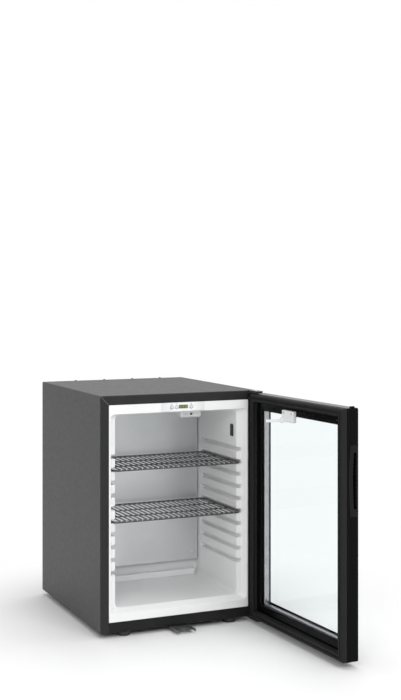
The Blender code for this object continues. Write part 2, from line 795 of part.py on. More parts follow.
def make_cold_plate(b):
    """The aluminium plate across the back, its tube, the gutter under it and the drain."""
    left = WALL_X + PLATE_INSET
    right = CABINET_W - left
    back = ROOM_D - FIT
    low = FLOOR_Z + PLATE_LIFT
    high = CEILING_Z - PLATE_DROP
    plate = b.part("evaporator_plate", box((left, PLATE_FRONT, low), (right, back, high)),
                   "bare aluminium")
    b.cut(plate, box((left + PLATE_T, PLATE_FRONT + PLATE_T, low - SHEET),
                     (right - PLATE_T, back + SHEET, high + SHEET)))
    tube_y = PLATE_FRONT + PLATE_T + FIT + COLD_TUBE_R
    rear = BOX_D + COLD_TUBE_TAIL
    tube_left = WALL_X + COLD_TUBE_INSET
    tube_right = tube_left + COLD_TUBE_RUN
    upper, lower = cold_tube_levels()
    points = [(tube_left, rear, upper), (tube_left, tube_y, upper),
              (tube_right, tube_y, upper), (tube_right, tube_y, lower),
              (tube_left, tube_y, lower), (tube_left, rear, lower)]
    b.part("evaporator_tube", wire_mesh(smooth_path(points, COLD_TUBE_BEND), COLD_TUBE_R),
           "bare aluminium")
    gutter_back = ROOM_D - FIT
    left = WALL_X + MOUTH_ROUND
    right = CABINET_W - left
    gutter = b.part("drain_gutter",
                    box((left, gutter_back - GUTTER_D - LINER_WALL, FLOOR_Z + FIT),
                        (right, gutter_back, FLOOR_Z + FIT + GUTTER_H)), "white plastic")
    b.cut(gutter, box((left + LINER_WALL, gutter_back - GUTTER_D, FLOOR_Z + LINER_WALL),
                      (right - LINER_WALL, gutter_back - LINER_WALL,
                       FLOOR_Z + 2 * GUTTER_H)))
    b.cut(gutter, rod(DRAIN_R + LOOSE, 4 * LINER_WALL, "Y",
                      (MIDDLE, gutter_back, drain_z()), 16))
    start = ROOM_D - DRAIN_IN
    end = BOX_D + DRAIN_TAIL
    drain = b.part("drain_tube", rod(DRAIN_R, end - start, "Y",
                                     (MIDDLE, (start + end) / 2, drain_z()), 16),
                   "white plastic")
    b.cut(drain, rod(DRAIN_R - DRAIN_WALL, BOX_D, "Y", (MIDDLE, end, drain_z()), 12))


def make_strip(b):
    """The label strip over the mouth, its display, board and three push buttons."""
    z = TOP_Z - STRIP_CENTRE_DROP
    half = STRIP_H / 2
    strip = b.part("control_panel", box((STRIP_LEFT, 0, z - half),
                                        (STRIP_LEFT + STRIP_W, STRIP_T, z + half)),
                   "grey label")
    for along in BUTTON_IN.values():
        b.cut(strip, rod(BUTTON_R + FIT, 4 * STRIP_T, "Y",
                         (STRIP_LEFT + along, STRIP_T / 2, z)))
    left = STRIP_LEFT + DISPLAY_IN
    right = left + DISPLAY_W
    b.cut(strip, box((left - FIT, -SHEET, z - DISPLAY_H / 2 - FIT),
                     (right + FIT, 2 * STRIP_T, z + DISPLAY_H / 2 + FIT)))
    b.part("display_window", box((left, FIT, z - DISPLAY_H / 2),
                                 (right, DISPLAY_T, z + DISPLAY_H / 2)), "display")
    inset = STRIP_LEDGE + FIT
    b.part("control_board", box((STRIP_LEFT + inset, BOARD_FRONT, z - half + inset),
                                (STRIP_LEFT + STRIP_W - inset, BOARD_FRONT + BOARD_T,
                                 z + half - inset)), "circuit board")
    flange_r = BUTTON_R + BUTTON_FLANGE
    stem = BOARD_FRONT - FIT - BUTTON_TRAVEL
    flange = STRIP_T + 2 * FIT
    root = flange + BUTTON_FLANGE
    profile = [(0, BUTTON_PROUD), (BUTTON_R - BUTTON_CHAMFER, BUTTON_PROUD),
               (BUTTON_R, BUTTON_PROUD - BUTTON_CHAMFER), (BUTTON_R, -flange),
               (flange_r, -flange), (flange_r, -root), (STEM_R, -root), (STEM_R, -stem),
               (0, -stem)]
    for name, along in BUTTON_IN.items():
        b.part(name, aimed(turned(profile), "-Y"), "black plastic",
               place=(STRIP_LEFT + along, 0.0, z))


def make_lamp(b):
    """The lamp box under the ceiling with its lens, and the switch plunger in its front."""
    top = CEILING_Z - FIT
    low = top - LAMP_H
    z = TOP_Z - PLUNGER_DROP
    right = LAMP_LEFT + LAMP_W
    lamp = b.part("lamp_housing", box((LAMP_LEFT, LAMP_FRONT, low),
                                      (right, LAMP_FRONT + LAMP_D, top)), "white plastic")
    bevelled(lamp, LAMP_ROUND)
    b.cut(lamp, rod(PLUNGER_R + FIT, 2 * (PLUNGER_BACK + PLUNGER_TRAVEL - LAMP_FRONT + FIT),
                    "Y", (PLUNGER_X, LAMP_FRONT, z), 20))
    b.part("lamp_lens", box((LAMP_LEFT + LENS_T, LAMP_FRONT + LENS_T, low - FIT - LENS_T),
                            (right - LENS_T, LAMP_FRONT + LAMP_D - LENS_T, low - FIT)),
           "glass")
    tip = finger_reach() + FIT
    length = PLUNGER_BACK - tip
    profile = [(0, 0), (PLUNGER_R - PLUNGER_CHAMFER, 0), (PLUNGER_R, -PLUNGER_CHAMFER),
               (PLUNGER_R, -length), (0, -length)]
    b.part("switch_plunger", aimed(turned(profile, 16), "-Y"), "black plastic",
           place=(PLUNGER_X, tip, z))


def finger_reach():
    """How far the door's finger reaches behind the cabinet's front when the door is shut."""
    return FINGER_REACH - DOOR_GAP


def make_sensor(b):
    """The slotted cover of the temperature sensor, high on the right wall."""
    low = TOP_Z - SENSOR_DROP - SENSOR_H / 2
    cover = b.part("sensor_cover",
                   box((RIGHT_WALL_X - FIT - SENSOR_T, SENSOR_FRONT, low),
                       (RIGHT_WALL_X - FIT, SENSOR_FRONT + SENSOR_L, low + SENSOR_H)),
                   "dark grey plastic")
    bevelled(cover, SENSOR_ROUND)
    slots = []
    for k in range(3):
        z = low + SENSOR_H * (k + 1) / 4
        face = RIGHT_WALL_X - FIT - SENSOR_T
        slots.append(((face - SENSOR_SLOT_DEEP, SENSOR_FRONT + SENSOR_SLOT,
                       z - SENSOR_SLOT / 2),
                      (face + SENSOR_SLOT_DEEP, SENSOR_FRONT + SENSOR_L - SENSOR_SLOT,
                       z + SENSOR_SLOT / 2)))
    b.cut(cover, boxes(slots))


def make_shelf(b, name, groove):
    """A wire shelf: a rim wire with rounded corners, rods from front to back and braces."""
    z = GROOVE_TOP - groove * GROOVE_PITCH - GROOVE_H + FIT + FRAME_WIRE_R
    r = FRAME_WIRE_R
    left = SHELF_SIDE + r
    right = CABINET_W - left
    front = SHELF_FRONT + r
    back = GROOVE_END - LOOSE - r
    corners = [(left, front, z), (right, front, z), (right, back, z), (left, back, z)]
    shelf = b.part(name, wire_mesh(smooth_path(corners, SHELF_CORNER, 4, True), r, True),
                   "coated wire")
    rod_z = z + r - CROSS_WIRE_R + WIRE_SINK
    count = math.floor((right - left) / WIRE_PITCH)
    rods = []
    for k in range(count):
        x = MIDDLE + (k - (count - 1) / 2) * WIRE_PITCH
        rods.append([(x, SHELF_FRONT + WIRE_SINK, rod_z), (x, back + r / 2, rod_z)])
    b.join(shelf, wires_mesh(rods, CROSS_WIRE_R))
    brace_z = rod_z - 2 * CROSS_WIRE_R + BRACE_SINK
    braces = []
    for k in range(BRACE_COUNT):
        y = front + (back - front) * (k + 1) / (BRACE_COUNT + 1)
        braces.append([(left, y, brace_z), (right, y, brace_z)])
    b.join(shelf, wires_mesh(braces, CROSS_WIRE_R))


def make_feet(b):
    """Four round feet with softened lower edges."""
    top = BASE_Z - FIT
    steps = arc(FOOT_R - FOOT_ROUND, FOOT_ROUND, FOOT_ROUND, 0, -90, 3)
    profile = [(0, top), (FOOT_R, top)] + steps + [(0, 0)]
    for side, x in (("left", FOOT_INSET), ("right", CABINET_W - FOOT_INSET)):
        for end, y in (("front", FOOT_FRONT), ("rear", CABINET_D - FOOT_BACK)):
            b.part(f"foot_{end}_{side}", turned(profile, 24), "black rubber",
                   place=(x, y, 0.0))


def make_hinges(b):
    """The plates, cap, pins and bushes that the door turns on."""
    low, high = hinge_room(0.0)
    plate_low = low[2]
    plate_high = high[2]
    reach = -HINGE_REACH
    plate = b.part("top_hinge_plate", box(low, high), "black paint")
    b.join(plate, front_tongue(low[0], high[0], reach, 0.0, plate_low, plate_high))
    b.cut(plate, rod(PIN_R + FIT, 4 * HINGE_T, "Z", (PIN_X, PIN_Y, plate_low)))
    cap_low = plate_high + FIT
    cap = b.part("top_hinge_cap",
                 front_tongue(low[0] - FIT, CABINET_W - FIT, reach - FIT, -FIT,
                              cap_low, cap_low + CAP_T), "black plastic")
    b.cut(cap, rod(PIN_R + FIT, 4 * CAP_T, "Z", (PIN_X, PIN_Y, cap_low)))
    head = cap_low + CAP_T + FIT + PIN_HEAD_T
    foot = DOOR_TOP - BUSH_DEEP + LOOSE
    profile = [(0, head), (PIN_HEAD_R - PIN_HEAD_CHAMFER, head),
               (PIN_HEAD_R, head - PIN_HEAD_CHAMFER), (PIN_HEAD_R, head - PIN_HEAD_T),
               (PIN_R, head - PIN_HEAD_T), (PIN_R, foot + PIN_CHAMFER),
               (PIN_R - PIN_CHAMFER, foot), (0, foot)]
    b.part("top_hinge_pin", turned(profile), "chrome", place=(PIN_X, PIN_Y, 0.0))
    bush_in = PIN_R + FIT
    bush_out = bush_in + BUSH_WALL
    flange = DOOR_TOP + FIT
    profile = [(bush_in, flange + BUSH_FLANGE), (BUSH_FLANGE_R, flange + BUSH_FLANGE),
               (BUSH_FLANGE_R, flange), (bush_out, flange),
               (bush_out, DOOR_TOP - BUSH_DEEP), (bush_in, DOOR_TOP - BUSH_DEEP)]
    b.part("top_hinge_bush", turned(profile), "dark grey plastic", on_door=True,
           place=(PIN_X, PIN_Y, 0.0))
    low_flange = DOOR_Z - FIT
    profile = [(bush_in, DOOR_Z + BUSH_DEEP), (bush_out, DOOR_Z + BUSH_DEEP),
               (bush_out, low_flange), (BUSH_FLANGE_R, low_flange),
               (BUSH_FLANGE_R, low_flange - BUSH_FLANGE), (bush_in, low_flange - BUSH_FLANGE)]
    b.part("bottom_hinge_bush", turned(profile), "dark grey plastic", on_door=True,
           place=(PIN_X, PIN_Y, 0.0))
    tongue_top = low_flange - BUSH_FLANGE - FIT
    tongue_low = tongue_top - LOW_HINGE_T
    tail_top = BASE_Z - FIT
    tail_left = CABINET_W - 2 * RIM_SIDE
    plate = b.part("bottom_hinge_plate",
                   box((tail_left, FOOT_FRONT / 2, tail_top - LOW_HINGE_T),
                       (CABINET_W - SHEET, 2 * FOOT_FRONT + FOOT_R, tail_top)), "black paint")
    b.join(plate, box((CABINET_W - SHEET - HINGE_W, -SHEET, tail_top - LOW_HINGE_T),
                      (CABINET_W - SHEET, FOOT_FRONT, tail_top)))
    b.join(plate, front_tongue(CABINET_W - SHEET - HINGE_W, CABINET_W - SHEET, reach,
                               SHEET * 2, tongue_low, tongue_top))
    b.cut(plate, rod(PIN_R - PIN_NECK, 4 * LOW_HINGE_T, "Z", (PIN_X, PIN_Y, tongue_low)))
    b.part("bottom_hinge_pin", bottom_pin(tongue_low, tongue_top), "chrome",
           place=(PIN_X, PIN_Y, 0.0))


def bottom_pin(tongue_low, tongue_top):
    """The lower pin: a shank on the tongue, with a riveted neck through it and a head below."""
    neck = PIN_R - PIN_NECK - FIT
    top = DOOR_Z + BUSH_DEEP - LOOSE
    head = tongue_low - FIT
    rivet = PIN_R + PIN_CHAMFER
    return turned([(0, top), (PIN_R - PIN_CHAMFER, top), (PIN_R, top - PIN_CHAMFER),
                   (PIN_R, tongue_top + FIT), (neck, tongue_top + FIT), (neck, head),
                   (rivet, head), (rivet, head - PIN_CHAMFER), (0, head - PIN_CHAMFER)])


def front_tongue(left, right, front, back, low, high):
    """A flat tongue pointing forwards, its end a half round."""
    radius = (right - left) / 2
    middle = (left + right) / 2
    outline = [(left, back)]
    outline += arc(middle, front + radius, radius, 180, 360, 10)
    outline += [(right, back)]
    return loft([[(x, y, low) for x, y in outline], [(x, y, high) for x, y in outline]])


def make_door(b):
    """The door's frame, inner frame, glass unit and seal."""
    frame_in = SEAL_T + FIT
    frame_out = DOOR_T
    glass_in = SEAL_T + INNER_FRAME_T + FIT
    rebate = SEAL_W + FIT
    hold = GLASS_MARGIN - FIT
    profile = [(0, frame_in + EDGE_ROUND), (0, frame_out - EDGE_ROUND),
               (EDGE_ROUND, frame_out), (hold, frame_out), (hold, glass_in),
               (rebate, glass_in), (rebate, frame_in), (EDGE_ROUND, frame_in)]
    frame = b.part("door_outer_frame", door_ring(profile), "black plastic", on_door=True)
    bush_r = PIN_R + FIT + BUSH_WALL + FIT
    for z in (DOOR_TOP, DOOR_Z):
        b.cut(frame, rod(bush_r, 2 * (BUSH_DEEP + LOOSE), "Z", (PIN_X, PIN_Y, z)))
    cut_pull(b, frame)
    cut_lock(b, frame)
    profile = [(rebate + FIT, SEAL_T + INNER_EDGE), (rebate + FIT + INNER_EDGE, SEAL_T),
               (SIGHT_MARGIN - 2 * INNER_EDGE, SEAL_T),
               (SIGHT_MARGIN, SEAL_T + 2 * INNER_EDGE),
               (SIGHT_MARGIN, SEAL_T + INNER_FRAME_T),
               (rebate + FIT, SEAL_T + INNER_FRAME_T)]
    b.part("door_inner_frame", door_ring(profile), "black plastic", on_door=True)
    inner_pane = glass_in
    outer_pane = DOOR_T - GLASS_T - FIT
    for name, depth in (("inner_glass", inner_pane), ("outer_glass", outer_pane)):
        loops = [door_loop(GLASS_MARGIN, depth), door_loop(GLASS_MARGIN, depth + GLASS_T)]
        b.part(name, loft(loops), "glass", on_door=True)
    near = inner_pane + GLASS_T + FIT
    far = outer_pane - FIT
    start = GLASS_MARGIN + SPACER_SET
    profile = [(start, near), (start + SPACER_W, near), (start + SPACER_W, far), (start, far)]
    b.part("glass_spacer", door_ring(profile), "bare aluminium", on_door=True)
    edge = EDGE_ROUND
    profile = [(edge, SEAL_T - FIT)]
    profile += arc(edge + SEAL_ROUND, SEAL_ROUND, SEAL_ROUND, 180, 270, 4)
    profile += [(BELLOWS_FLAT, 0.0), (BELLOWS_FACE, BELLOWS_NOSE), (BELLOWS_FACE, BELLOWS_LIP),
                (BELLOWS_NECK, BELLOWS_START), (BELLOWS_NECK, BELLOWS_END),
                (SEAL_W - SEAL_TUCK, SEAL_HEEL), (SEAL_W - SEAL_TUCK, SEAL_T - FIT)]
    b.part("door_gasket", door_ring(profile), "black rubber", on_door=True)


def pull_slab(x_out, x_in, inner, width, height, radius):
    """A slab across X on the door's free edge, round-cornered in depth and height."""
    cy = -DOOR_GAP - inner - width / 2
    cz = TOP_Z - PULL_DROP - PULL_H / 2
    outline = rounded_outline(width, height, radius, 4)
    return loft([[(x, cy + a, cz + c) for a, c in outline] for x in (x_out, x_in)])


def cut_pull(b, frame):
    face = DOOR_LEFT
    b.cut(frame, pull_slab(face - SHEET, face + PULL_FLANGE - PULL_PROUD + FIT,
                           PULL_INNER - FIT, PULL_W + 2 * FIT, PULL_H + 2 * FIT,
                           PULL_ROUND))
    b.cut(frame, pull_slab(face - SHEET, face + CUP_DEEP + CUP_WALL + FIT,
                           CUP_INNER - CUP_WALL - FIT, CUP_W + 2 * (CUP_WALL + FIT),
                           CUP_H + 2 * (CUP_WALL + FIT), CUP_ROUND))


def make_pull(b):
    """The recessed pull: a flange on the door's free edge and a cup for the fingers."""
    face = DOOR_LEFT
    out = face - PULL_PROUD
    pull = b.part("handle_insert",
                  pull_slab(out, out + PULL_FLANGE, PULL_INNER, PULL_W, PULL_H, PULL_ROUND),
                  "dark grey plastic", on_door=True)
    bevelled(pull, PULL_EDGE, 1)
    b.join(pull, pull_slab(out + PULL_FLANGE / 2, face + CUP_DEEP + CUP_WALL,
                           CUP_INNER - CUP_WALL, CUP_W + 2 * CUP_WALL,
                           CUP_H + 2 * CUP_WALL, CUP_ROUND))
    b.cut(pull, pull_slab(out - SHEET, face + CUP_DEEP, CUP_INNER, CUP_W, CUP_H, PULL_ROUND))


def lock_y(depth):
    return -DOOR_GAP - depth


def cut_lock(b, frame):
    """The barrel's bore from the door's face, and the bolt's slot up from its bottom."""
    z = BASE_Z + LOCK_Z
    back = BOLT_T_AT + BOLT_T / 2 + FIT
    depth = DOOR_T - back
    b.cut(frame, rod(BARREL_R + FIT, 2 * depth, "Y", (LOCK_X, lock_y(DOOR_T), z)))
    b.cut(frame, box((LOCK_X - BOLT_W / 2 - FIT, lock_y(back), DOOR_Z - SHEET),
                     (LOCK_X + BOLT_W / 2 + FIT, lock_y(BOLT_T_AT - BOLT_T / 2 - FIT),
                      DOOR_Z + BOLT_HIDE + BOLT_L + FIT)))


def make_lock(b):
    """The lock's barrel and turning plug, the bolt that it drops, and the striker."""
    z = BASE_Z + LOCK_Z
    front = DOOR_T + BARREL_PROUD
    back = BOLT_T_AT + BOLT_T / 2 + 2 * FIT
    length = front - back
    bore = PLUG_R + FIT
    profile = [(bore, 0), (BARREL_R - BARREL_CHAMFER, 0), (BARREL_R, -BARREL_CHAMFER),
               (BARREL_R, -length), (bore, -length)]
    b.part("lock_barrel", aimed(turned(profile), "-Y"), "chrome", on_door=True,
           place=(LOCK_X, lock_y(front), z))
    profile = [(0, 0), (PLUG_R - LOCK_CHAMFER, 0), (PLUG_R, -LOCK_CHAMFER),
               (PLUG_R, -length), (0, -length)]
    plug = b.part("lock_plug", aimed(turned(profile), "-Y"), "chrome", on_door=True,
                  place=(LOCK_X, lock_y(front), z))
    b.cut(plug, box((LOCK_X - KEY_W / 2, lock_y(front) - SHEET, z - KEY_H / 2),
                    (LOCK_X + KEY_W / 2, lock_y(front) + KEY_DEEP, z + KEY_H / 2)))
    low = DOOR_Z + BOLT_HIDE
    b.part("lock_bolt", box((LOCK_X - BOLT_W / 2, lock_y(BOLT_T_AT + BOLT_T / 2), low),
                            (LOCK_X + BOLT_W / 2, lock_y(BOLT_T_AT - BOLT_T / 2),
                             low + BOLT_L)), "zinc steel", on_door=True)


def make_striker(b):
    """The striker tray under the cabinet, reaching out below the shut door."""
    under = BASE_Z - FIT
    left = LOCK_X - STRIKER_W / 2
    right = LOCK_X + STRIKER_W / 2
    plate_top = BASE_Z - STRIKER_DROP
    plate = b.part("lock_striker",
                   box((left + STRIKER_WALL / 2, -STRIKER_REACH, plate_top - STRIKER_T),
                       (right - STRIKER_WALL / 2, STRIKER_TAB, plate_top)), "zinc steel")
    for x in (left, right - STRIKER_WALL):
        b.join(plate, box((x, -STRIKER_WING, BASE_Z - STRIKER_WING_DROP),
                          (x + STRIKER_WALL, STRIKER_TAB, under)))
    b.join(plate, box((left + STRIKER_WALL / 2, STRIKER_TAB - STRIKER_T,
                       plate_top - STRIKER_T), (right - STRIKER_WALL / 2, STRIKER_TAB, under)))
    b.join(plate, box((left, STRIKER_TAB - STRIKER_T / 2, under - STRIKER_T),
                      (right, STRIKER_BACK, under)))
    slot = BOLT_W / 2 + LOOSE
    y = lock_y(BOLT_T_AT)
    deep = BOLT_T / 2 + LOOSE
    b.cut(plate, box((LOCK_X - slot, y - deep, 0), (LOCK_X + slot, y + deep, BASE_Z)))
    holes = []
    for k in (-1, 0, 1):
        x = LOCK_X + k * STRIKER_W / 4
        front = -STRIKER_REACH + STRIKER_HOLE_IN
        holes.append(((x - STRIKER_HOLE / 2, front, 0),
                      (x + STRIKER_HOLE / 2, front + STRIKER_HOLE / 2, BASE_Z)))
    b.cut(plate, boxes(holes))
    for side, x in (("left", left + STRIKER_W / 4), ("right", right - STRIKER_W / 4)):
        place = (x, (STRIKER_TAB + STRIKER_BACK) / 2, under - STRIKER_T - FIT)
        profile = [(0, 0), (SCREW_R, 0), (SCREW_R, -SCREW_T / 2),
                   (SCREW_R - SCREW_T / 2, -SCREW_T), (0, -SCREW_T)]
        b.part(f"striker_screw_{side}", turned(profile, 16), "zinc steel", place=place)


def make_door_fittings(b):
    """The plug over the spare hinge hole, and the white arm that works the lamp switch."""
    x = DOOR_LEFT + PLUG_CAP_IN
    y = lock_y(PLUG_CAP_T_AT)
    low = DOOR_TOP + FIT
    outline = rounded_outline(PLUG_CAP_W, PLUG_CAP_L, PLUG_CAP_W / 2 - EDGE_ROUND, 4)
    loops = []
    for z, share in ((low, 1.0), (low + PLUG_CAP_H * 0.7, 1.0), (low + PLUG_CAP_H, 0.8)):
        loops.append([(x + a * share, y + c * share, z) for a, c in outline])
    b.part("corner_plug", loft(loops), "black plastic", on_door=True)
    top = TOP_Z - ARM_TOP_DROP
    seat = SEAL_T - FIT
    arm = b.part("lamp_arm",
                 box((ARM_LEFT, lock_y(seat), top - ARM_H),
                     (ARM_LEFT + ARM_W, lock_y(seat - ARM_T), top)), "white plastic",
                 on_door=True)
    bevelled(arm, ARM_ROUND)
    finger_x = PLUNGER_X - FINGER_W / 2
    low = TOP_Z - PLUNGER_DROP - FINGER_H / 2
    b.join(arm, box((finger_x, lock_y(seat - FINGER_ROOT), low),
                    (finger_x + FINGER_W, finger_reach(), low + FINGER_H)))


def make_rails(b):
    """Two steel rails across the bay's mouth that carry the cooling unit."""
    left = SHEET + FIT
    right = CABINET_W - left
    back = CABINET_D - SHEET - FIT
    levels = (("upper_support_rail", TOP_Z - RAIL_DROP),
              ("lower_support_rail", BASE_Z + RAIL_LIFT))
    for name, low in levels:
        rail = b.part(name, box((left, back - RAIL_D, low), (right, back, low + RAIL_H)),
                      "zinc steel")
        b.cut(rail, box((left - SHEET, back - RAIL_D + RAIL_T, low + RAIL_T),
                        (right + SHEET, back + SHEET, low + RAIL_H - RAIL_T)))
    for side, x in zip(("left", "right"), REAR_SCREW_X):
        place = (x, CABINET_D - REAR_SCREW_IN, TOP_Z + FIT)
        profile = [(0, SCREW_T), (SCREW_R - SCREW_T / 2, SCREW_T), (SCREW_R, SCREW_T / 2),
                   (SCREW_R, 0), (0, 0)]
        b.part(f"rear_screw_{side}", turned(profile, 16), "zinc steel", place=place)


def unit_y(radius):
    """The centre line of a round piece of the unit that lies against the rails."""
    return UNIT_BACK - radius - FIT


def make_boiler(b):
    """The hollow boiler can, the heater in its foot and the finned condenser over it."""
    y = unit_y(BOILER_R)
    top = TOP_Z - BOILER_DROP
    low = BASE_Z + BOILER_BOTTOM
    r = BOILER_R
    cut = BOILER_ROUND
    wall = BOILER_WALL
    hole = HEATER_R + FIT
    profile = [(0, top), (r - cut, top), (r, top - cut), (r, low + cut), (r - cut, low),
               (hole, low), (hole, low + wall), (r - cut, low + wall),
               (r - wall, low + cut), (r - wall, top - cut), (r - cut, top - wall),
               (0, top - wall)]
    b.part("boiler_jacket", turned(profile, 24), "zinc steel", place=(BOILER_X, y, 0.0))
    b.part("heater_cartridge", rod(HEATER_R, HEATER_L, "Z", (BOILER_X, y, low), 16),
           "zinc steel")
    high = TOP_Z - CONDENSER_DROP
    fin_y = UNIT_BACK - FIN_SIZE / 2 - FIT
    run = CONDENSER_END - BOILER_X
    points = [(BOILER_X, fin_y, top + FIT), (BOILER_X, fin_y, high),
              (CONDENSER_END, fin_y, high - CONDENSER_FALL)]
    path = smooth_path(points, CONDENSER_BEND, 4)
    condenser = b.part("condenser", wire_mesh(path, RISER_R, False, 3), "dark unit paint")
    start = BOILER_X + FIN_IN
    count = math.floor((CONDENSER_END - FIN_STOP - start) / FIN_PITCH) + 1
    fins = []
    for k in range(count):
        x = start + k * FIN_PITCH
        z = high - CONDENSER_FALL * (x - BOILER_X) / run
        fins.append(((x, fin_y - FIN_SIZE / 2, z - FIN_SIZE / 2),
                     (x + FIN_T, fin_y + FIN_SIZE / 2, z + FIN_SIZE / 2)))
    b.join(condenser, boxes(fins))


def make_absorber(b):
    """The absorber's hollow vessel, its rising coil and the tube back to the boiler."""
    y = unit_y(VESSEL_R)
    z = BASE_Z + VESSEL_LIFT
    middle = (VESSEL_LEFT + VESSEL_RIGHT) / 2
    half = (VESSEL_RIGHT - VESSEL_LEFT) / 2
    r = VESSEL_R
    d = VESSEL_DOME
    w = VESSEL_WALL
    hole = HEAT_TUBE_R - 2 * w
    profile = [(0, half), (r * 0.6, half - d * 0.2), (r * 0.9, half - d * 0.6), (r, half - d),
               (r, -half + d), (r * 0.9, -half + d * 0.6), (r * 0.6, -half + d * 0.2),
               (hole, -half), (hole, -half + w), (r * 0.6 - w / 2, -half + d * 0.2 + w),
               (r - w, -half + d), (r - w, half - d), (r * 0.6 - w / 2, half - d * 0.2 - w),
               (0, half - w)]
    vessel = turned(profile, 20)
    vessel.transform(Matrix.Rotation(math.pi / 2, 4, "Y"))
    b.part("absorber_vessel", vessel, "dark unit paint", place=(middle, y, z))
    rear_y = unit_y(COIL_TUBE_R)
    front_y = rear_y - COIL_DEPTH
    start_z = z + r + COIL_LIFT
    points = [(middle, y, z + r + FIT), (middle, y, start_z - COIL_TUBE_R / 2),
              (middle, rear_y, start_z)]
    corners = [(COIL_RIGHT, rear_y), (COIL_RIGHT, front_y), (COIL_LEFT, front_y),
               (COIL_LEFT, rear_y)]
    for k in range(4 * COIL_LOOPS):
        x, corner_y = corners[k % 4]
        points.append((x, corner_y, start_z + (k + 1) * COIL_PITCH / 4))
    end = points[-1]
    points.append((middle, end[1], end[2] + COIL_PITCH / 8))
    b.part("absorber_coil", wire_mesh(smooth_path(points, COIL_BEND, 2), COIL_TUBE_R),
           "dark unit paint")
    tube_start = BOILER_X + BOILER_R + FIT
    tube_end = VESSEL_LEFT - FIT
    b.part("heat_exchanger_tube",
           rod(HEAT_TUBE_R, tube_end - tube_start, "X", ((tube_start + tube_end) / 2, y, z), 16),
           "dark unit paint")


def make_terminal_box(b):
    """The terminal box on the base at the right of the bay, with the cord gland in its back."""
    low = BASE_Z + SHEET + FIT
    back = UNIT_BACK - TERMINAL_IN
    front = back - TERMINAL_D
    high = low + TERMINAL_H
    right = TERMINAL_X + TERMINAL_W
    made = b.part("terminal_box", box((TERMINAL_X, front, low), (right, back, high)),
                  "dark grey plastic")
    bevelled(made, TERMINAL_ROUND)
    cx = (TERMINAL_X + right) / 2
    cz = low + TERMINAL_H / 4
    outer = GLAND_R
    neck = outer - GLAND_LIP
    b.cut(made, rod(neck + FIT, 2 * GLAND_L, "Y", (cx, back, cz), 20))
    profile = [(GLAND_BORE, GLAND_L), (outer - GLAND_CHAMFER, GLAND_L),
               (outer, GLAND_L - GLAND_CHAMFER), (outer, 0), (neck, 0),
               (neck, -GLAND_L + LOOSE), (GLAND_BORE, -GLAND_L + LOOSE)]
    b.part("cord_gland", aimed(turned(profile, 20), "+Y"), "black rubber",
           place=(cx, back + FIT, cz))


def main():
    b = Builder()
    make_casing(b)
    make_base(b)
    make_liner(b)
    make_foam(b)
    make_rear_panel(b)
    make_cold_plate(b)
    make_strip(b)
    make_lamp(b)
    make_sensor(b)
    for name, groove in SHELF_GROOVES.items():
        make_shelf(b, name, groove)
    make_feet(b)
    make_hinges(b)
    make_door(b)
    make_pull(b)
    make_lock(b)
    make_striker(b)
    make_door_fittings(b)
    make_rails(b)
    make_boiler(b)
    make_absorber(b)
    make_terminal_box(b)


main()
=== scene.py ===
"""Looks of a small glazed minibar fridge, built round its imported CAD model.

Metres, +Z up. Pieces are written in the cabinet's own coordinates: X from its left side,
Y back from its front face, Z from the floor. The door's pieces are written as if it were
shut, and are turned open with it. Each piece takes its size from the CAD node it stands for.
"""

import json
import math

import bmesh
import bpy
from mathutils import Matrix, Vector


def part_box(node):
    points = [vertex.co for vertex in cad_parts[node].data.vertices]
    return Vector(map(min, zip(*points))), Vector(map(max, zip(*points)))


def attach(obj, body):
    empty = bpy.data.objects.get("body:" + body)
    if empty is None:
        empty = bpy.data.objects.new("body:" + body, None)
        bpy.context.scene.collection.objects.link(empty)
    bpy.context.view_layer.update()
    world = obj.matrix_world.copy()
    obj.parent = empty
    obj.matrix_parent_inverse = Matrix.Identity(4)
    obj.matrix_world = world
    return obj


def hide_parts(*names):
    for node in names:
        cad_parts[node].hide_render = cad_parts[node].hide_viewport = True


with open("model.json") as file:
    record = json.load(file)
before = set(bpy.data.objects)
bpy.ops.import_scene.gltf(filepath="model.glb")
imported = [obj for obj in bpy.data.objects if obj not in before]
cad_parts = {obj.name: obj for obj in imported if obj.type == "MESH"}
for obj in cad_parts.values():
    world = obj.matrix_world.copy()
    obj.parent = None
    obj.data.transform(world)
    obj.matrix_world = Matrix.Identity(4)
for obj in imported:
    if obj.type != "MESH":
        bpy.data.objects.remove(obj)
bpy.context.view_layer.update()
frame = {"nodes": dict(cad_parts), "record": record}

bl_info = {
    "name": "Glazed minibar",
    "version": (1, 0, 0),
    "blender": (4, 5, 0),
    "location": "View3D > Sidebar > Minibar",
    "description": "Builds the visible pieces of a small fridge with a glass door",
    "category": "Object",
}

BEHAVIOUR = frame["record"]["behaviour"]
BODY_OF = {node: body for body, nodes in BEHAVIOUR["bodies"].items() for node in nodes}
DOOR_BODIES = ("door", "lock_plug_body", "lock_bolt_body")
HINGE = next(j for j in BEHAVIOUR["joints"] if j["name"] == "door_hinge")
OPEN = -math.radians(HINGE["range_deg"][0])

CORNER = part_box("outer_casing")[0]
TO_WORLD = Matrix.Translation((CORNER.x, CORNER.y, 0.0))
PIN = Vector(HINGE["pos_m"])
PIN_X, PIN_Y, _ = TO_WORLD.inverted() @ PIN
DOOR_TO_WORLD = (Matrix.Translation(PIN) @ Matrix.Rotation(OPEN, 4, "Z")
                 @ Matrix.Translation(-PIN) @ TO_WORLD)

